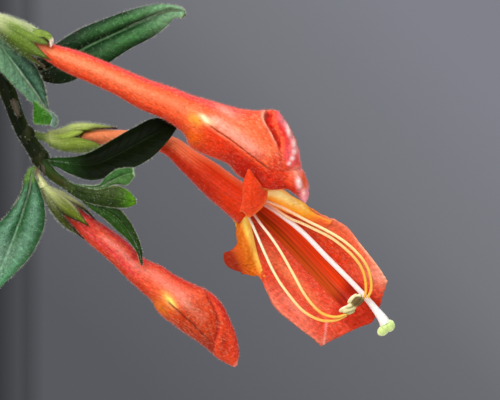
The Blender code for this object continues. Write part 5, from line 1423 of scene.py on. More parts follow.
def makeCalyx(name, values, thickness=0.30, along=44, across=12, hairLength=0.75):
    route = np.array(values["route"])
    ahead = unit(route[-1, :3] - route[-2, :3])
    axis = unit(route[-1, :3] - route[1, :3])
    away = np.array((0.0, 1.0, 0.0))
    away = unit(away - axis * (away @ axis))
    above = np.cross(away, axis)
    above *= np.sign(above[2]) or 1.0
    parts = []
    middleColour, sideColour, paleColour, tipColour = values["colours"]
    power, root = values.get("point", (3.2, 0.5))
    for number, (angle, halfAngle, end, flare, drift, dark) in enumerate(values["sepals"]):
        lift = 0.05 * (number % 3)

        def shape(u, v):
            t = 0.16 + (end - 0.16) * v
            inside = smoothAt(route, np.minimum(t, 1.0))
            length = np.linalg.norm(route[-1, :3] - route[0, :3])
            centre = inside[:, :3] + ahead * (np.maximum(t - 1, 0) * length)[:, None]
            radius = (inside[:, 3] + lift) * (1 + flare * v ** 2)
            w = np.clip(1 - v ** power, 0, 1) ** root * (0.86 + 0.14 * np.sin(math.pi * v))
            w = np.maximum(w, 0.02)
            turn = np.radians(angle + (2 * u - 1) * halfAngle * w)
            side = 2 * u - 1
            radius = radius + 0.28 * (1 - side ** 2) * np.sin(math.pi * np.clip(v, 0, 1))
            out = np.cos(turn)[:, None] * away + np.sin(turn)[:, None] * above
            return onShoot(centre + radius[:, None] * out + np.asarray(drift) * (v ** 4)[:, None])

        sepal, u, v = layGrid(f"{name}_sepal_{number + 1}", across, along, shape)
        turn = math.radians(angle)
        faceTowards(sepal, math.cos(turn) * away + math.sin(turn) * above)
        side = 2 * u - 1
        leaning = np.sin(np.radians(angle + side * halfAngle))          # 1 above, -1 underneath
        paint(sepal, middleColour,
              (sideColour, 0.85 * abs(side) ** 1.5),
              (paleColour, 0.75 * (1 - ramp(v, 0.0, values.get("paleTo", 0.30)))),
              # painted highlight: paler where a sepal faces up; the shade coat below darkens where it faces
              # down
              (paleColour, 0.75 * ramp(leaning, 0.40, 0.95) * (1 - ramp(v, 0.5, 0.85))),
              (values["shade"], 0.75 * ramp(-leaning, values.get("shadeFrom", 0.0), 0.8)),
              (tipColour, (0.5 + 0.45 * dark) * ramp(v, 0.86, 0.97)),
              (tipColour, (0.3 + 0.6 * dark) * bell(1 - abs(side), 0.20) * ramp(v, 0.5, 0.7)))
        dressSkin(sepal, calyxSkin, thickness)
        parts.append(sepal)
    first = route[:2, :3]
    stalkEnd = smoothAt(route[:, :3], np.array([0.28]))[0]
    stalk, u, v = tubeGrid(f"{name}_stalk",
                           onShoot([first[0], smoothAt(route[:, :3], np.array([0.12]))[0], stalkEnd]),
                           np.array(values.get("stalkRadii", (0.80, 0.95, 1.9))) * mm, around=18, along=30)
    paint(stalk, paleColour, (values["stalk"], 0.85 * (1 - ramp(v, 0.35, 0.75))))
    dressSkin(stalk, calyxSkin)
    joinAll(parts[0], [*parts[1:], stalk])
    calyx = parts[0]
    calyx.name = name + "_fine"
    growHairs(calyx, values["hairs"], hairLength, hairWidth["calyx"], clearHair, spread=0.45,
              where=lambda centre, normal: 0.20 + 0.9 * ramp(normal[:, 2], 0.2, 0.9)
                  + 0.5 * (1 - abs(normal[:, 1])))
    return calyx


for calyxName, calyxValues in shootCalyxes.items():
    calyx = makeCalyx(calyxName, calyxValues)
    if calyxName == "calyx_upper":
        joinAll(calyx, [makeTurnedTip("sepal_hook", sepalHook, "#7c943c", "#5c7424", "#e4d0bc")])
    finishPiece(calyx, [calyxName])
print("calyxes made")


# flowering stem

pot = {"rimZ": -0.280, "rimRadius": 80 * mm, "lipRadius": 92 * mm, "lipThickness": 3 * mm,
       "height": 115 * mm, "baseRadius": 56 * mm, "wall": 2 * mm, "foot": 3 * mm, "footWidth": 4 * mm,
       "headspace": 12 * mm, "gap": 0.3 * mm, "drainHoles": 6, "drainRadius": 3.5 * mm,
       "drainRing": 34 * mm, "wireRing": 85 * mm, "wireHole": 1.6 * mm, "azimuths": (45, 165, 285)}
mixTop = pot["rimZ"] - pot["headspace"]
floweringStem = {"radius": 1.65, "lastSteps": (1.02, 1.0, 1.08), "young": (1.25, 1.18, 1.10, 1.05),
                 "hairs": 2600, "hairLength": 0.55}


def makeFloweringStem():
    rim, gap = pot["rimZ"], pot["gap"]
    old = [(0.055, 0, mixTop + gap), (0.055, 0, mixTop + 8 * mm), (0.061, 0, rim + 4 * mm),
           (0.076, 0, rim + 10 * mm), (0.094, 0, rim + 7 * mm), (0.112, 0, rim - 6 * mm),
           (0.1275, 0, -0.305)]
    old += [tuple(p) for p in onShoot(((-12.4, 0, 31.0), (-9.0, 0, 19.6), (-6.8, 0, 13.2), (-4.2, 0, 6.6),
                                       (0, 0, 0)))]
    radii = np.full(len(old), floweringStem["radius"])
    radii[-3:] *= floweringStem["lastSteps"]
    stem, u, v = tubeGrid("flowering_stem_fine", old, radii * mm, around=22, along=300)
    spots = getSpots(stem)
    near = np.linalg.norm(spots - onShoot((-7.4, 0, 14.6)), axis=1) / mm
    knee = np.linalg.norm(spots - onShoot((-0.6, 0, 1.4)), axis=1) / mm
    swell(stem, 0.32 * bell(near, 1.8) + 0.28 * bell(knee, 1.8) + 0.06 * np.sin(u * 2 * math.pi * 5)
          * np.clip(v * (1 - v) * 40, 0, 1))
    paint(stem, "#202a0e",
          ("#6b5836", 0.6 * (1 - ramp(v, 0.25, 0.55))),
          # painted shade: near-black where the stem nears the leaf node; painted sheen on its outer side
          ("#081202", 0.95 * ramp(v, 0.62, 0.78)),
          ("#2c3c10", 0.75 * ramp(getNormals(stem)[:, 0], 0.25, 0.85) * ramp(v, 0.62, 0.78)),
          ("#242a0e", 0.4 * bell(near, 2.0) + 0.6 * bell(knee, 2.2)))
    dressSkin(stem, stemSkin)
    young, u, v = tubeGrid("young_shoot", onShoot(((-0.4, 0, 0.8), (2.2, -2.2, -3.0), (4.6, -4.2, -4.8),
                                                   (7.6, -5.8, -6.8))),
                           np.array(floweringStem["young"]) * mm, around=20, along=60)
    paint(young, "#244010",
          ("#182208", 0.8 * (1 - ramp(v, 0.05, 0.3))),
          ("#4c2418", 0.4 * bell(u - 0.3, 0.10) * ramp(v, 0.2, 0.6)),
          ("#36541c", 0.5 * ramp(v, 0.7, 1.0)))
    dressSkin(young, stemSkin)
    # the swollen node and the dried stubs of old leaves
    stubs = []
    for place, sizes in (((-0.3, -0.1, 0.4), (2.1, 1.9, 2.3)), ((0.9, -1.0, -1.6), (1.5, 1.4, 1.5)),
                         ((-3.1, -0.7, 5.6), (1.6, 1.5, 2.0))):
        knob = addBall(around=20, rings=14)
        setSpots(knob, onShoot(getSpots(knob) * np.array(sizes) + np.array(place)))
        paint(knob, "#18200a", ("#282c10", 0.5 + 0.5 * np.sin(getSpots(knob)[:, 0] / (0.4 * mm))))
        smooth(knob)
        dress(knob, stemSkin)
        stubs.append(knob)
    for number, (place, ahead, size) in enumerate((((-6.2, -1.6, 13.0), (-4.8, -3.6, 9.4), 0.75),
                                                   ((0.3, -1.0, -0.6), (0.9, -2.2, -3.4), 0.70))):
        middle = (np.array(place) + ahead) / 2 + (0, -0.4, 0)
        stub, u, v = tubeGrid(f"stub_{number + 1}", onShoot((place, middle, ahead)),
                              np.array((size, size * 0.9, size * 0.45)) * mm, around=14, along=22)
        paint(stub, "#4c4438", ("#2c2014", 0.8 * ramp(abs(v - 0.5), 0.3, 0.45)))
        dressSkin(stub, stemSkin)
        stubs.append(stub)
    joinAll(stem, [young, *stubs])
    growHairs(stem, floweringStem["hairs"], floweringStem["hairLength"], hairWidth["leaf"], clearHair,
              spread=0.5,
              where=lambda centre, normal: 0.12 + (centre[:, 0] > 0.11) * (abs(normal[:, 1]) < 0.6) * 1.0)
    finishPiece(stem, ["flowering_stem"])


makeFloweringStem()
print("flowering stem made")


# shoots of the basket

# azimuth, reach and height of the tip in metres, swing in degrees
trailing = ((30, 0.122, -0.452, 7), (60, 0.134, -0.505, -4), (90, 0.126, -0.540, 5),
            (120, 0.137, -0.478, -5), (150, 0.125, -0.528, 4), (180, 0.136, -0.496, -4),
            (210, 0.128, -0.548, 5), (240, 0.138, -0.487, -4), (270, 0.127, -0.532, 4),
            (300, 0.135, -0.470, -5), (330, 0.122, -0.498, -7))
# azimuth, distance from the middle at the foot and at the tip, and height, in metres
crown = ((10, 0.026, 0.078, -0.236), (75, 0.026, 0.086, -0.228), (130, 0.026, 0.080, -0.218),
         (195, 0.026, 0.086, -0.226), (250, 0.026, 0.080, -0.216), (315, 0.026, 0.078, -0.230))
# shoot, share of the way along it, degrees aside and down, open or in bud
basketFlowers = ((1, 0.50, 10, 18, True), (2, 0.38, -12, 8, True), (2, 0.72, 14, 30, False),
                 (3, 0.52, -8, 20, True), (4, 0.44, 10, 12, False), (5, 0.60, -10, 24, True),
                 (6, 0.40, 8, 10, True), (6, 0.74, -12, 34, False), (7, 0.52, 10, 20, True),
                 (8, 0.36, -10, 6, True), (8, 0.68, 12, 28, True), (9, 0.50, -8, 16, False),
                 (9, 0.80, 10, 36, True), (5, 0.34, 12, 4, True))
shoots = {"leafLength": 26.0, "leafWidth": 10.0, "stemRadius": 1.1, "pairStep": 13.0, "calyxLength": 11.0}


def trailingRoute(azimuth, reach, tip, swing):
    rim = pot["rimZ"]
    return [polar(0.053, azimuth, mixTop + pot["gap"]), polar(0.053, azimuth, mixTop + 8 * mm),
            polar(0.059, azimuth, rim + 6 * mm),
            polar(0.075, azimuth, rim + 12 * mm), polar(0.097, azimuth, rim + 7 * mm),
            polar(reach - 9 * mm, azimuth + swing * 0.2, rim - 16 * mm),
            polar(reach, azimuth + swing * 0.5, rim - 62 * mm),
            polar(reach + 2 * mm, azimuth + swing * 0.8, (rim - 62 * mm + tip) / 2),
            polar(reach - 4 * mm, azimuth + swing, tip)]


def crownRoute(azimuth, start, reach, height):
    rise = height - mixTop
    return [polar(start, azimuth, mixTop + pot["gap"]), polar(start, azimuth, mixTop + 8 * mm),
            polar(start + 4 * mm, azimuth, mixTop + 0.5 * rise),
            polar(start + 0.35 * (reach - start), azimuth, mixTop + 0.9 * rise),
            polar(start + 0.72 * (reach - start), azimuth, height),
            polar(reach, azimuth, height - 7 * mm)]


def basketLeaf(name, curl, cup):
    # one leaf 1 mm long and 1 mm wide: two skins welded round the edge, midrib along +Z, face +Y
    def shape(u, v):
        way = np.where(u <= 0.5, 4 * u - 1, 3 - 4 * u)
        upperSide = np.where(u <= 0.5, 1.0, -1.0)
        outline = np.sin(math.pi * np.clip(v, 0, 1) ** 0.92) ** 0.72
        x = 0.5 * way * outline
        y = -curl * v ** 2 + cup * abs(way) ** 1.3 * outline - 0.02 * bell(way, 0.3) * outline
        y = y + upperSide * 0.012 * (1 - abs(way)) * outline
        return np.stack([x, y, v], 1)

    thing, u, v = layGrid(name, 8, 6, shape)
    way = np.where(u <= 0.5, 4 * u - 1, 3 - 4 * u)
    paint(thing, "#5f6a40", ("#3f6e38", (u <= 0.5).astype(float)), ("#7fa05c", 0.55 * bell(way, 0.22)),
          ("#7c5f3c", 0.35 * ramp(abs(way), 0.9, 1.0)))
    weld(thing, 0.001)
    smooth(thing)
    dress(thing, bladeSmall)
    return thing


def copyPlaced(source, name, matrix, shade=1.0):
    thing = addObject(name, source.data.copy())
    thing.data.transform(matrix)
    if shade != 1.0:
        layer = thing.data.attributes["tint"].data
        flat = np.empty(4 * len(layer))
        layer.foreach_get("color", flat)
        flat = flat.reshape(-1, 4)
        flat[:, :3] = np.clip(flat[:, :3] * shade, 0, 1)
        layer.foreach_set("color", flat.ravel())
    return thing


def placedMatrix(place, along, face, sizes):
    along = Vector(along).normalized()
    face = Vector(face)
    face = (face - face.dot(along) * along).normalized()
    across = face.cross(along).normalized()
    turn = Matrix((across, face, along)).transposed().to_4x4()
    return Matrix.Translation(Vector(place)) @ turn @ Matrix.Diagonal((*sizes, 1.0))


leafKinds = (basketLeaf("leaf_kind_a", 0.10, 0.05), basketLeaf("leaf_kind_b", 0.18, 0.10),
             basketLeaf("leaf_kind_c", 0.04, 0.14))


def smallCalyx():
    # five sepals round the foot of a flower, 1:1 in mm along +Z
    parts = []
    for number in range(5):
        angle = 72 * number + 18

        def shape(u, v):
            z = 11.6 * v * (1.05 if number % 2 else 1.0)
            radius = np.interp(z, (0, 3.0, 5.0, 8.0, 12.5), (0.8, 1.2, 2.5, 3.0, 3.2)) + 0.06 * (number % 2)
            w = np.sqrt(np.clip(1 - v ** 3, 0.0004, 1))
            turn = np.radians(angle + (2 * u - 1) * 42 * w)
            return mm * np.stack([radius * np.cos(turn), radius * np.sin(turn), z], 1)

        sepal, u, v = layGrid(f"small_sepal_{number}", 4, 8, shape)
        faceTowards(sepal, (math.cos(math.radians(angle)), math.sin(math.radians(angle)), 0))
        paint(sepal, "#8fa548",
              ("#70883a", abs(2 * u - 1) ** 2),
              ("#6a3f28", 0.8 * ramp(v, 0.85, 1.0)))
        dressSkin(sepal, calyxSkin, 0.35)
        parts.append(sepal)
    return joinAll(parts[0], parts[1:])


calyxKind = smallCalyx()


def shootFrame(route, share):
    fine = route[0]
    k = share * (len(fine) - 1)
    i = min(int(k), len(fine) - 2)
    place = fine[i] + (fine[i + 1] - fine[i]) * (k - i)
    return place, unit(fine[i + 1] - fine[i])


def flowerAxis(route, share, aside, down):
    place, _ = shootFrame(route, share)
    azimuth = math.degrees(math.atan2(place[1], place[0])) + aside
    return place, np.array(polar(math.cos(math.radians(down)), azimuth, -math.sin(math.radians(down))))


def makeBasketShoot(name, points, first, largest, flowers=()):
    route = evenRoute(points, 161)
    fine, length = route
    lengthMm = length / mm
    radii = shoots["stemRadius"] * np.linspace(1.15, 0.70, 8) * mm
    stem, u, v = tubeGrid(name + "_fine", fine[::4], radii, around=10, along=120)
    paint(stem, "#5c6b34",
          ("#6e5536", 0.7 * (1 - ramp(v, 0.05, 0.35))),
          ("#86a04c", 0.6 * ramp(v, 0.75, 1.0)))
    dressSkin(stem, stemSkin)
    parts = []
    count = int((lengthMm - first) / shoots["pairStep"])
    for pair in range(count + 1):
        last = pair == count
        share = 1 - 2 / lengthMm if last else (first + pair * shoots["pairStep"]) / lengthMm
        place, ahead = shootFrame(route, share)
        side = unit(np.cross(ahead, unit(np.array((place[0], place[1], 0.0)))))
        face = np.cross(side, ahead)
        size = largest * (1 - 0.45 * (pair / count) ** 2) * rng.uniform(0.90, 1.0)
        quarter = 0.30 if pair % 2 else -0.06      # every second pair stands out from the shoot
        for hand in (-1, 1):
            lean = 1.2 if last else 0.30 + 0.10 * ((pair + (hand > 0)) % 2) + rng.uniform(-0.06, 0.10)
            way = hand * side + lean * ahead + (0.32 + quarter) * face
            across = size * shoots["leafWidth"] / shoots["leafLength"]
            matrix = placedMatrix(place - 0.4 * mm * face, way,
                                  face - 0.25 * ahead + rng.normal(0, 0.10, 3),
                                  (across * mm, size * mm, size * mm))
            kind = leafKinds[int(rng.integers(len(leafKinds)))]
            parts.append(copyPlaced(kind, f"{name}_leaf", matrix, rng.uniform(0.80, 1.22)))
    for share, aside, down in flowers:
        place, along = flowerAxis(route, share, aside, down)
        parts.append(copyPlaced(calyxKind, f"{name}_calyx",
                                placedMatrix(place, along, (0, 0, 1), (1, 1, 1))))
    joinAll(stem, parts)
    finishPiece(stem, [name])
    return route


# flowers of the basket

basketOpen = {
    "tube": ((0, 0.0, 2.1, 2.1), (6, 0.3, 2.1, 2.2), (14, 1.0, 2.5, 2.7), (20, 1.5, 3.0, 3.4),
             (26, 2.0, 3.6, 4.2), (31, 2.8, 4.2, 4.9), (33, 3.2, 4.4, 4.6)),
    # along, across, up; the hood stands over the mouth
    "hood": (((29.0, -3.6, 4.6), (29.0, -2.4, 6.6), (29.0, 0.0, 7.4), (29.0, 2.4, 6.6), (29.0, 3.6, 4.6)),
             ((36.0, -5.6, 4.8), (36.0, -3.4, 7.8), (36.0, 0.0, 8.8), (36.0, 3.4, 7.8), (36.0, 5.6, 4.8)),
             ((44.0, -8.0, 6.2), (44.0, -4.6, 8.4), (44.0, 0.0, 9.4), (44.0, 4.6, 8.4), (44.0, 8.0, 6.2)),
             ((53.0, -8.6, 7.2), (53.0, -4.8, 8.8), (53.0, 0.0, 9.6), (53.0, 4.8, 8.8), (53.0, 8.6, 7.2)),
             ((59.0, -6.6, 7.4), (60.0, -3.6, 8.6), (60.6, 0.0, 9.2), (60.0, 3.6, 8.6), (59.0, 6.6, 7.4)),
             ((60.6, -4.6, 7.6), (61.6, -2.2, 8.2), (62.0, 0.0, 8.4), (61.6, 2.2, 8.2), (60.6, 4.6, 7.6))),
    "sideLobe": (((30.0, 3.2, 4.6), (30.0, 4.2, 2.6), (30.0, 3.8, 0.6)),
                 ((34.0, 4.6, 5.2), (34.0, 6.0, 3.2), (34.0, 5.8, 0.8)),
                 ((38.5, 6.0, 5.8), (38.5, 7.6, 4.4), (38.0, 8.4, 2.4)),
                 ((42.0, 7.0, 6.2), (42.0, 8.0, 5.6), (41.6, 8.6, 4.6))),
    "lip": (((32.0, -3.6, 0.2), (32.4, 0.0, -1.4), (32.0, 3.6, 0.2)),
            ((33.0, -3.2, -2.0), (34.0, 0.0, -3.4), (33.0, 3.2, -2.0)),
            ((31.0, -2.4, -4.2), (32.0, 0.0, -5.2), (31.0, 2.4, -4.2)),
            ((27.4, -0.8, -6.0), (27.6, 0.0, -6.4), (27.4, 0.8, -6.0))),
    "filaments": (((30, -1.4, 2.0), (40, -3.4, 3.6), (50, -3.8, 5.2), (57, -1.6, 6.0)),
                  ((30, -0.6, 2.4), (41, -2.0, 4.4), (51, -2.4, 6.0), (57.4, -0.8, 6.4)),
                  ((30, 0.6, 2.4), (41, 2.0, 4.4), (51, 2.4, 6.0), (57.4, 0.8, 6.4)),
                  ((30, 1.4, 2.0), (40, 3.4, 3.6), (50, 3.8, 5.2), (57, 1.6, 6.0))),
    "style": ((30, 0, 1.6), (42, 0, 3.4), (52, 0, 4.8), (61, 0, 5.2)),
}
basketBud = {"tube": ((0, 0.0, 2.0, 2.0), (6, 0.2, 2.0, 2.1), (14, 0.4, 2.4, 2.6), (19, 0.6, 2.9, 3.3),
                      (24, 0.8, 3.6, 4.2), (28, 1.1, 4.2, 4.8), (31, 1.2, 4.4, 5.0), (35, 0.9, 4.0, 4.6),
                      (38, 0.4, 3.2, 3.6), (41, -0.1, 2.1, 2.4), (43, -0.6, 0.9, 1.0))}


def plainTube(name, table, around, along):
    t, closed = tubeRows(along)
    rows = smoothAt(table, t)
    kept = {}

    def shape(u, v):
        row = np.rint(v * along).astype(int)
        s, rise, wide, high = rows[row].T
        a = 2 * math.pi * u
        kept.update(s=s, up=np.sin(a))
        return mm * np.stack([s, closed[row] * wide * np.cos(a), rise + closed[row] * high * np.sin(a)], 1)

    return layGrid(name, around, along, shape)[0], kept


def petalSheet(name, net, across, along, towards, coatsAt, thickness=0.4):
    net = np.array(net, float)
    kept = {}

    def shape(u, v):
        p = smoothAcross(smoothAt(net, v), u)
        kept["p"] = p
        return mm * p

    thing, u, v = layGrid(name, across, along, shape)
    faceTowards(thing, towards)
    paint(thing, *coatsAt(kept["p"], u, v))
    dressSkin(thing, petal, thickness)
    return thing


def tubeCoats(at, mouth):
    s, up = at["s"], at["up"]
    return ("#e8502c", ("#ea3a42", 0.7 * ramp(up, 0.4, 0.9)), ("#da3c12", 0.7 * ramp(-up, 0.3, 0.8)),
            ("#f0a030", 0.7 * bell(s - mouth, 3.0) * ramp(-up, -0.2, 0.6)))


def makeOpenKind():
    tube, at = plainTube("open_kind", basketOpen["tube"], around=24, along=34)
    paint(tube, *tubeCoats(at, 31.0))
    dressSkin(tube, petal)

    def hoodCoats(p, u, v):
        return ("#dd4420", ("#f0a030", 0.8 * (1 - ramp(p[:, 0], 31, 39)) * ramp(abs(p[:, 1]), 2, 4)),
                ("#e8524a", 0.6 * bell(np.minimum(u, 1 - u), 0.10)), ("#c03a0c", 0.6 * bell(u - 0.5, 0.10)))

    def lobeCoats(p, u, v):
        return "#f3ac38", ("#e45a1c", ramp(v, 0.35, 0.9))

    def lipCoats(p, u, v):
        return "#e4401a", ("#ee6434", 0.6 * ramp(v, 0.6, 1))

    parts = [petalSheet("hood_kind", basketOpen["hood"], 20, 24, (0, 0, -1), hoodCoats),
             petalSheet("lip_kind", basketOpen["lip"], 10, 12, (1, 0, -0.5), lipCoats),
             petalSheet("lobe_kind_a", basketOpen["sideLobe"], 8, 12, (0, 1, -0.4), lobeCoats)]
    mirrored = [tuple((x, -y, z) for x, y, z in row) for row in basketOpen["sideLobe"]]
    parts.append(petalSheet("lobe_kind_b", mirrored, 8, 12, (0, -1, -0.4), lobeCoats))
    for number, route in enumerate(basketOpen["filaments"]):
        thread, u, v = tubeGrid(f"thread_{number}", mm * np.array(route, float), 0.30 * mm, around=6,
                                along=20)
        paint(thread, "#fff0cc", ("#f4b234", ramp(v, 0.3, 0.9)))
        dressSkin(thread, waxy)
        parts.append(thread)
    style, u, v = tubeGrid("style_kind", mm * np.array(basketOpen["style"], float),
                           np.array((0.5, 0.55, 0.6, 0.8)) * mm, around=8, along=20)
    paint(style, "#f3ece6")
    dressSkin(style, waxy)
    parts.append(style)
    anther, stigma = ((1.3, 1.1, 0.8), "#e8d890", pollen), ((0.9, 1.0, 0.9), "#b7d468", waxy)
    for place, (sizes, code, material) in (((57.2, -1.0, 6.3), anther), ((57.2, 1.0, 6.3), anther),
                                           ((61.4, 0.8, 5.2), stigma), ((61.4, -0.8, 5.2), stigma)):
        knob = addBall(around=10, rings=8)
        setSpots(knob, mm * (getSpots(knob) * np.array(sizes) + np.array(place)))
        paint(knob, code)
        smooth(knob)
        dress(knob, material)
        parts.append(knob)
    joinAll(tube, parts)
    return tube


def makeBudKind():
    tube, at = plainTube("bud_kind", basketBud["tube"], around=24, along=44)
    paint(tube, *tubeCoats(at, 24.0), ("#e04450", 0.6 * ramp(at["s"], 40, 43)))
    dressSkin(tube, petal)
    return tube


openKind, budKind = makeOpenKind(), makeBudKind()
routes = []
for number, values in enumerate(trailing):
    carried = [flower[1:4] for flower in basketFlowers if flower[0] == number]
    routes.append(makeBasketShoot(f"trailing_shoot_{number + 1:02d}", trailingRoute(*values), 66,
                                  shoots["leafLength"], carried))
for number, values in enumerate(crown):
    makeBasketShoot(f"crown_shoot_{number + 1}", crownRoute(*values), 26 + 8 * (number % 2),
                    0.78 * shoots["leafLength"])
for number, (shoot, share, aside, down, isOpen) in enumerate(basketFlowers):
    place, along = flowerAxis(routes[shoot], share, aside, down)
    start = Vector(place + along * (shoots["calyxLength"] + 0.3) * mm)
    ahead = Vector(along)
    up = Vector((0, 0, 1)) - ahead.z * ahead
    up.normalize()
    turn = Matrix((ahead, up.cross(ahead), up)).transposed().to_4x4()
    flowerName = f"flower_{number + 1:02d}"
    flower = copyPlaced(openKind if isOpen else budKind, flowerName + "_fine",
                        Matrix.Translation(start) @ turn, rng.uniform(0.94, 1.04))
    finishPiece(flower, [flowerName])
for kind in (*leafKinds, calyxKind, openKind, budKind):
    bpy.data.objects.remove(kind, do_unlink=True)
print("basket shoots and flowers made")


# pot, saucer, potting mix and hanger

saucer = {"radius": 70 * mm, "height": 17 * mm, "wall": 1.6 * mm, "stud": 4 * mm, "studHead": 5.5 * mm,
          "studHeadHeight": 2.5 * mm}
hanger = {"hubRadius": 9 * mm, "hubTop": -38 * mm, "hubHeight": 16 * mm, "rod": 1.5 * mm,
          "hookRadius": 9 * mm, "wire": 1.0 * mm, "bend": 2.2 * mm}


def makePot():
    rim, lip, wall = pot["rimZ"], pot["lipRadius"], pot["wall"]
    under = rim - pot["lipThickness"]
    foot = rim - pot["height"]
    base = foot + pot["foot"]
    slope = (pot["rimRadius"] - pot["baseRadius"]) / (under - foot)

    def outside(z):
        return pot["baseRadius"] + slope * (z - foot)

    profile = [(lip - 0.8 * mm, rim), (lip - 0.2 * mm, rim - 0.25 * mm), (lip, rim - 0.8 * mm),
               (lip, under + 0.5 * mm), (lip - 0.3 * mm, under + 0.1 * mm), (lip - 0.8 * mm, under),
               (outside(under) + 0.8 * mm, under), (outside(under - 0.8 * mm), under - 0.8 * mm)]
    for z in (under - 16 * mm, under - 18 * mm):                       # two moulded bands round the body
        profile += [(outside(z + 0.5 * mm), z + 0.5 * mm), (outside(z) - 0.35 * mm, z),
                    (outside(z - 0.5 * mm), z - 0.5 * mm)]
    profile += [(outside(foot + 0.9 * mm), foot + 0.9 * mm), (pot["baseRadius"] - 0.5 * mm, foot),
                (pot["baseRadius"] - pot["footWidth"] + 0.4 * mm, foot),
                (pot["baseRadius"] - pot["footWidth"], foot + 0.4 * mm),
                (pot["baseRadius"] - pot["footWidth"], base), (saucer["stud"] + pot["gap"], base),
                (saucer["stud"] + pot["gap"], base + wall),
                (pot["baseRadius"] - wall - 1.2 * mm, base + wall),
                (pot["baseRadius"] - wall + 0.1 * mm, base + wall + 1.2 * mm),
                (pot["rimRadius"] - wall - 0.4 * mm, rim - 0.5 * mm),
                (pot["rimRadius"] - wall + 0.1 * mm, rim)]
    body = spunPiece("pot_fine", profile)
    for azimuth in pot["azimuths"]:
        cutHole(body, polar(pot["wireRing"], azimuth, under), pot["wireHole"], 12 * mm)
    for number in range(pot["drainHoles"]):
        cutHole(body, polar(pot["drainRing"], number * 360 / pot["drainHoles"], base), pot["drainRadius"],
                8 * mm)
    finishMoulding(body, plastic, ["pot"])


def makeSaucer():
    seat = pot["rimZ"] - pot["height"] - pot["gap"]
    inner = seat - 4 * mm
    under = inner - saucer["wall"]
    edge = inner + saucer["height"]
    head = pot["rimZ"] - pot["height"] + pot["foot"] + pot["wall"] + pot["gap"]
    waist = saucer["stud"] - pot["gap"]
    r, w = saucer["radius"], saucer["wall"]
    rib, ribIn = pot["baseRadius"], pot["baseRadius"] - pot["footWidth"]
    profile = [(0, head + saucer["studHeadHeight"]),
               (saucer["studHead"] - 1.2 * mm, head + saucer["studHeadHeight"] * 0.86),
               (saucer["studHead"], head + saucer["studHeadHeight"] / 2),
               (saucer["studHead"], head + 0.3 * mm), (saucer["studHead"] - 0.3 * mm, head), (waist, head),
               (waist, inner + 0.6 * mm), (waist + 0.6 * mm, inner), (ribIn, inner),
               (ribIn, seat - 0.3 * mm), (ribIn + 0.3 * mm, seat), (rib - 0.3 * mm, seat),
               (rib, seat - 0.3 * mm), (rib, inner), (r - 5.2 * mm, inner),
               (r - 4.0 * mm, inner + 0.8 * mm), (r - w - 0.2 * mm, edge - 1.4 * mm),
               (r - w, edge - 0.4 * mm), (r - w + 0.4 * mm, edge), (r - 0.4 * mm, edge),
               (r, edge - 0.4 * mm), (r, edge - 1.6 * mm), (r - 0.5 * mm, edge - 2.0 * mm),
               (r - 3.7 * mm, under + 1.0 * mm), (r - 4.6 * mm, under), (0, under)]
    body = spunPiece("drip_saucer_fine", profile)
    finishMoulding(body, plastic, ["drip_saucer"])


def makePottingMix():
    floor = pot["rimZ"] - pot["height"] + pot["foot"] + pot["wall"] + pot["gap"]
    wallTop, wallBase = pot["rimRadius"] - pot["wall"], pot["baseRadius"] - pot["wall"]
    slope = (wallTop - wallBase) / (pot["rimZ"] - floor)
    top = wallBase + slope * (mixTop - floor) - 0.8 * mm
    recess = saucer["studHead"] + pot["gap"]
    roof = floor + saucer["studHeadHeight"] + 2 * pot["gap"]
    profile = [(0, mixTop)] + [(top * k / 30, mixTop) for k in range(1, 31)]
    profile += [(wallBase - 0.8 * mm, floor + 0.6 * mm), (wallBase - 1.4 * mm, floor), (recess, floor),
                (recess, roof), (0, roof)]
    body = spunPiece("potting_mix_fine", profile, 120)
    spots = getSpots(body)
    radius = np.hypot(spots[:, 0], spots[:, 1])
    onTop = (spots[:, 2] > mixTop - 0.5 * mm) & (radius < top - 1 * mm)
    x, y = spots[:, 0] / mm, spots[:, 1] / mm
    waves = (0.7 * np.sin(0.21 * x + 1.1) * np.cos(0.17 * y) + 0.45 * np.sin(0.53 * x + 0.71 * y)
             + 0.30 * np.sin(1.3 * x - 0.9 * y))
    spots[:, 2] += np.where(onTop, mm * (waves * 0.6 - 0.4), 0)
    setSpots(body, spots)
    smooth(body)
    crumbs = []
    deselect()
    bpy.ops.mesh.primitive_ico_sphere_add(subdivisions=1, radius=1.0, location=(0, 0, 0))
    kind = bpy.context.object
    kind.data.color_attributes.new("tint", "FLOAT_COLOR", "POINT")
    for number in range(420):
        r = top * math.sqrt(rng.uniform(0, 0.94))
        azimuth = rng.uniform(0, 360)
        size = rng.uniform(0.8, 3.2) * mm
        flat = rng.uniform(0.35, 0.9)
        matrix = (Matrix.Translation(Vector(polar(r, azimuth, mixTop + 0.05 * mm + 0.3 * size * flat)))
                  @ Matrix.Rotation(rng.uniform(0, 6.28), 4, "Z")
                  @ Matrix.Rotation(rng.uniform(-0.5, 0.5), 4, "X")
                  @ Matrix.Diagonal((size * rng.uniform(0.6, 1.0), size * rng.uniform(0.35, 0.8),
                                     size * flat * 0.7, 1.0)))
        crumbs.append(copyPlaced(kind, "crumb", matrix))
    bpy.data.objects.remove(kind, do_unlink=True)
    joinAll(body, crumbs)
    dress(body, peat)
    finishPiece(body, ["potting_mix"])


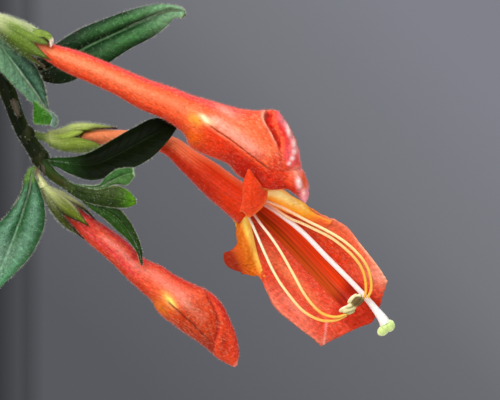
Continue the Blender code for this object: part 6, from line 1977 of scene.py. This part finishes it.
def wireRoute(azimuth):
    ring, bend = pot["wireRing"], hanger["bend"]
    under = pot["rimZ"] - pot["lipThickness"] - pot["gap"]
    bottom = under - 2.5 * mm
    turn = [(ring + bend * (1 - math.cos(a)), bottom - bend * math.sin(a))
            for a in (math.radians(30 * k) for k in range(1, 7))]
    places = [(3.4 * mm, hanger["hubTop"] - hanger["hubHeight"] / 2 - 0.4 * mm),
              (hanger["hubRadius"] + 1 * mm, -51.5 * mm), (14 * mm, -60 * mm),
              (ring - 2.6 * mm, pot["rimZ"] + 17 * mm), (ring, pot["rimZ"] + 8 * mm), (ring, bottom), *turn,
              (ring + 2 * bend, under)]
    return [polar(radius, azimuth, z) for radius, z in places]


def straightTube(name, points, radius, material):
    # a round wire through the points, from a curve with a round section, made a mesh
    curve = bpy.data.curves.new(name, "CURVE")
    curve.dimensions = "3D"
    curve.bevel_depth = radius
    curve.bevel_resolution = 5
    curve.use_fill_caps = True
    spline = curve.splines.new("POLY")
    spline.points.add(len(points) - 1)
    for k, place in enumerate(points):
        spline.points[k].co = (*place, 1.0)
    activate(addObject(name, curve))
    bpy.ops.object.convert(target="MESH")
    thing = bpy.context.object
    weld(thing, 0.002 * mm)
    smooth(thing)
    dress(thing, material)
    return thing


def rounded(points, per=8):
    # softens the corners of a wire's route
    result = []
    for k, place in enumerate(points):
        if k in (0, len(points) - 1):
            result.append(np.array(place))
            continue
        a, b, c = (np.array(points[k + d]) for d in (-1, 0, 1))
        la, lc = np.linalg.norm(a - b), np.linalg.norm(c - b)
        cut = min(4 * mm, 0.45 * la, 0.45 * lc)
        start, end = b + (a - b) / la * cut, b + (c - b) / lc * cut
        for t in np.linspace(0, 1, per):
            result.append((1 - t) ** 2 * start + 2 * t * (1 - t) * b + t ** 2 * end)
    return result


def makeHanger():
    top, height, r = hanger["hubTop"], hanger["hubHeight"], hanger["hubRadius"]
    profile = [(0, top), (r - 2.6 * mm, top), (r - 1.8 * mm, top - 0.3 * mm),
               (r - 0.5 * mm, top - 2.2 * mm), (r, top - 3.4 * mm), (r, top - 7 * mm),
               (r - 0.35 * mm, top - 7.4 * mm), (r - 0.35 * mm, top - 8.6 * mm), (r, top - 9 * mm),
               (r, top - height + 3.4 * mm), (r - 0.6 * mm, top - height + 1.6 * mm),
               (r - 3.0 * mm, top - height + 0.1 * mm), (r - 3.6 * mm, top - height), (0, top - height)]
    hub = spunPiece("hanger_hub_fine", profile, 64)
    cutHole(hub, (0, 0, top), hanger["rod"] + 0.3 * mm, 12 * mm)
    for number, azimuth in enumerate(pot["azimuths"]):
        points = wireRoute(azimuth)
        wire = straightTube(f"hanger_wire_{number + 1}_fine", rounded(points), hanger["wire"], zinc)
        finishPiece(wire, [f"hanger_wire_{number + 1}"])
        inner, outer = Vector(points[0]), Vector(points[1])
        start = inner + (inner - outer).normalized() * 0.3 * mm
        cutAway(hub, straightTube("bore", [tuple(start), tuple(outer)], hanger["wire"] + 0.45 * mm, zinc))
    finishMoulding(hub, plastic, ["hanger_hub"])
    bend = hanger["hookRadius"] + hanger["rod"]
    middle = -hanger["hookRadius"]
    points = [(0, 0, top - 6 * mm + 0.3 * mm), (0, 0, middle - bend - 8 * mm),
              (0, 0, middle - bend - 3 * mm), (1.2 * mm, 0, middle - bend - 0.8 * mm)]
    points += [(bend * math.cos(a), 0, middle + bend * math.sin(a))
               for a in (math.radians(-62 + 5 * k) for k in range(53))]
    finishPiece(straightTube("hanger_hook_fine", points, hanger["rod"], zinc), ["hanger_hook"])


makePot()
makeSaucer()
makePottingMix()
makeHanger()
print("pot and hanger made")


# floor, light and camera

studio = {
    "floorZ": -0.95, "floorRadius": 6.0, "ambient": 0.22, "fade": 7.0,
    "lens": 400, "sensor": 36, "cameraAt": (0.195, -1.222, -0.3638),
    # name: direction of travel, strength, angle
    "lamps": {"key from the upper left": ((0.42, 1.0, -0.62), 2.3, 48),
              "sky light from above": ((0.10, 0.30, -1.0), 1.9, 100),
              "light from behind": ((-0.1, -1.0, -0.55), 0.5, 40)},
    # plain backdrop tones from the lower left to the upper right
    "behind": ((0.12, "#595a5f"), (0.56, "#6c6d72"), (0.68, "#75777c"), (0.94, "#80818a")),
    "behindEdge": ((0.0, 0.42), (0.16, 0.72), (0.24, 0.60), (0.40, 1.0)),
}


def makeFloor():
    deselect()
    bpy.ops.mesh.primitive_circle_add(vertices=96, radius=studio["floorRadius"], fill_type="NGON",
                                      location=(0, 0, studio["floorZ"]))
    floor = bpy.context.object
    floor.name = "floor"
    bpy.ops.object.transform_apply(location=True, rotation=False, scale=False)
    material, tree = newMaterial("matt primed board", 0.85)         # even, slightly mottled
    place = addNode(tree, "TexCoord", {}, "Object")
    noise = addNode(tree, "TexNoise", {"Scale": 3.0, "Detail": 3.0}, "Fac", Vector=place)
    colour = addNode(tree, "ValToRGB", {"stops": ((0.3, "#d5d4d0"), (0.7, "#dddcd8"))}, 0, i0=noise)
    dress(floor, finishMaterial(material, **{"Base Color": colour}))


def makeLight(name, towards, strength, angle):
    lamp = bpy.data.lights.new(name, "SUN")
    lamp.energy = strength
    lamp.angle = math.radians(angle)
    addObject(name, lamp).rotation_euler = Vector(towards).to_track_quat("-Z", "Y").to_euler()


def makeWorld():
    world = bpy.data.worlds.new("soft grey studio")
    bpy.context.scene.world = world
    world.use_nodes = True
    tree = world.node_tree
    plain = tree.nodes["Background"]
    plain.inputs["Color"].default_value = rgba("#ffffff")
    plain.inputs["Strength"].default_value = studio["ambient"]
    split = addNode(tree, "SeparateXYZ", {}, Vector=addNode(tree, "TexCoord", {}, "Generated"))
    x, z = split.outputs[0], split.outputs[2]
    rise = addNode(tree, "Math", {"operation": "MULTIPLY_ADD", 1: studio["fade"], 2: 0.5}, 0, i0=z)
    tone = addNode(tree, "Math", {"operation": "MULTIPLY_ADD", 1: studio["fade"]}, 0, i0=x, i2=rise)
    side = addNode(tree, "MapRange", {"From Min": -0.045, "From Max": -0.025}, 0, Value=x)
    behind = addNode(tree, "ValToRGB", {"stops": studio["behind"]}, 0, i0=tone)
    edge = addNode(tree, "ValToRGB", {"stops": studio["behindEdge"]}, 0, i0=side)
    seen = addNode(tree, "Background", {"Strength": 1.0}, 0,
                   Color=addNode(tree, "Mix", multiply, 2, i6=behind, i7=edge))
    path = addNode(tree, "LightPath", {})
    either = addNode(tree, "Math", {"operation": "MAXIMUM"}, 0, i0=path.outputs["Is Camera Ray"],
                     i1=path.outputs["Is Glossy Ray"])
    either = addNode(tree, "Math", {"operation": "MAXIMUM"}, 0, i0=either,
                     i1=path.outputs["Is Transmission Ray"])
    mix = addNode(tree, "MixShader", {}, 0, i0=either, i1=plain.outputs[0], i2=seen)
    tree.links.new(mix, tree.nodes["World Output"].inputs["Surface"])


def makeCamera():
    lens = bpy.data.cameras.new("camera")
    lens.lens, lens.sensor_width = studio["lens"], studio["sensor"]
    lens.clip_start, lens.clip_end = 0.05, 100
    camera = addObject("camera", lens)
    camera.location = studio["cameraAt"]
    camera.rotation_euler = (math.radians(90), 0, 0)                # level
    bpy.context.scene.camera = camera


makeFloor()
for lampName, lampValues in studio["lamps"].items():
    makeLight(lampName, *lampValues)
makeWorld()
makeCamera()
bpy.context.scene.view_settings.view_transform = "Standard"
deselect()
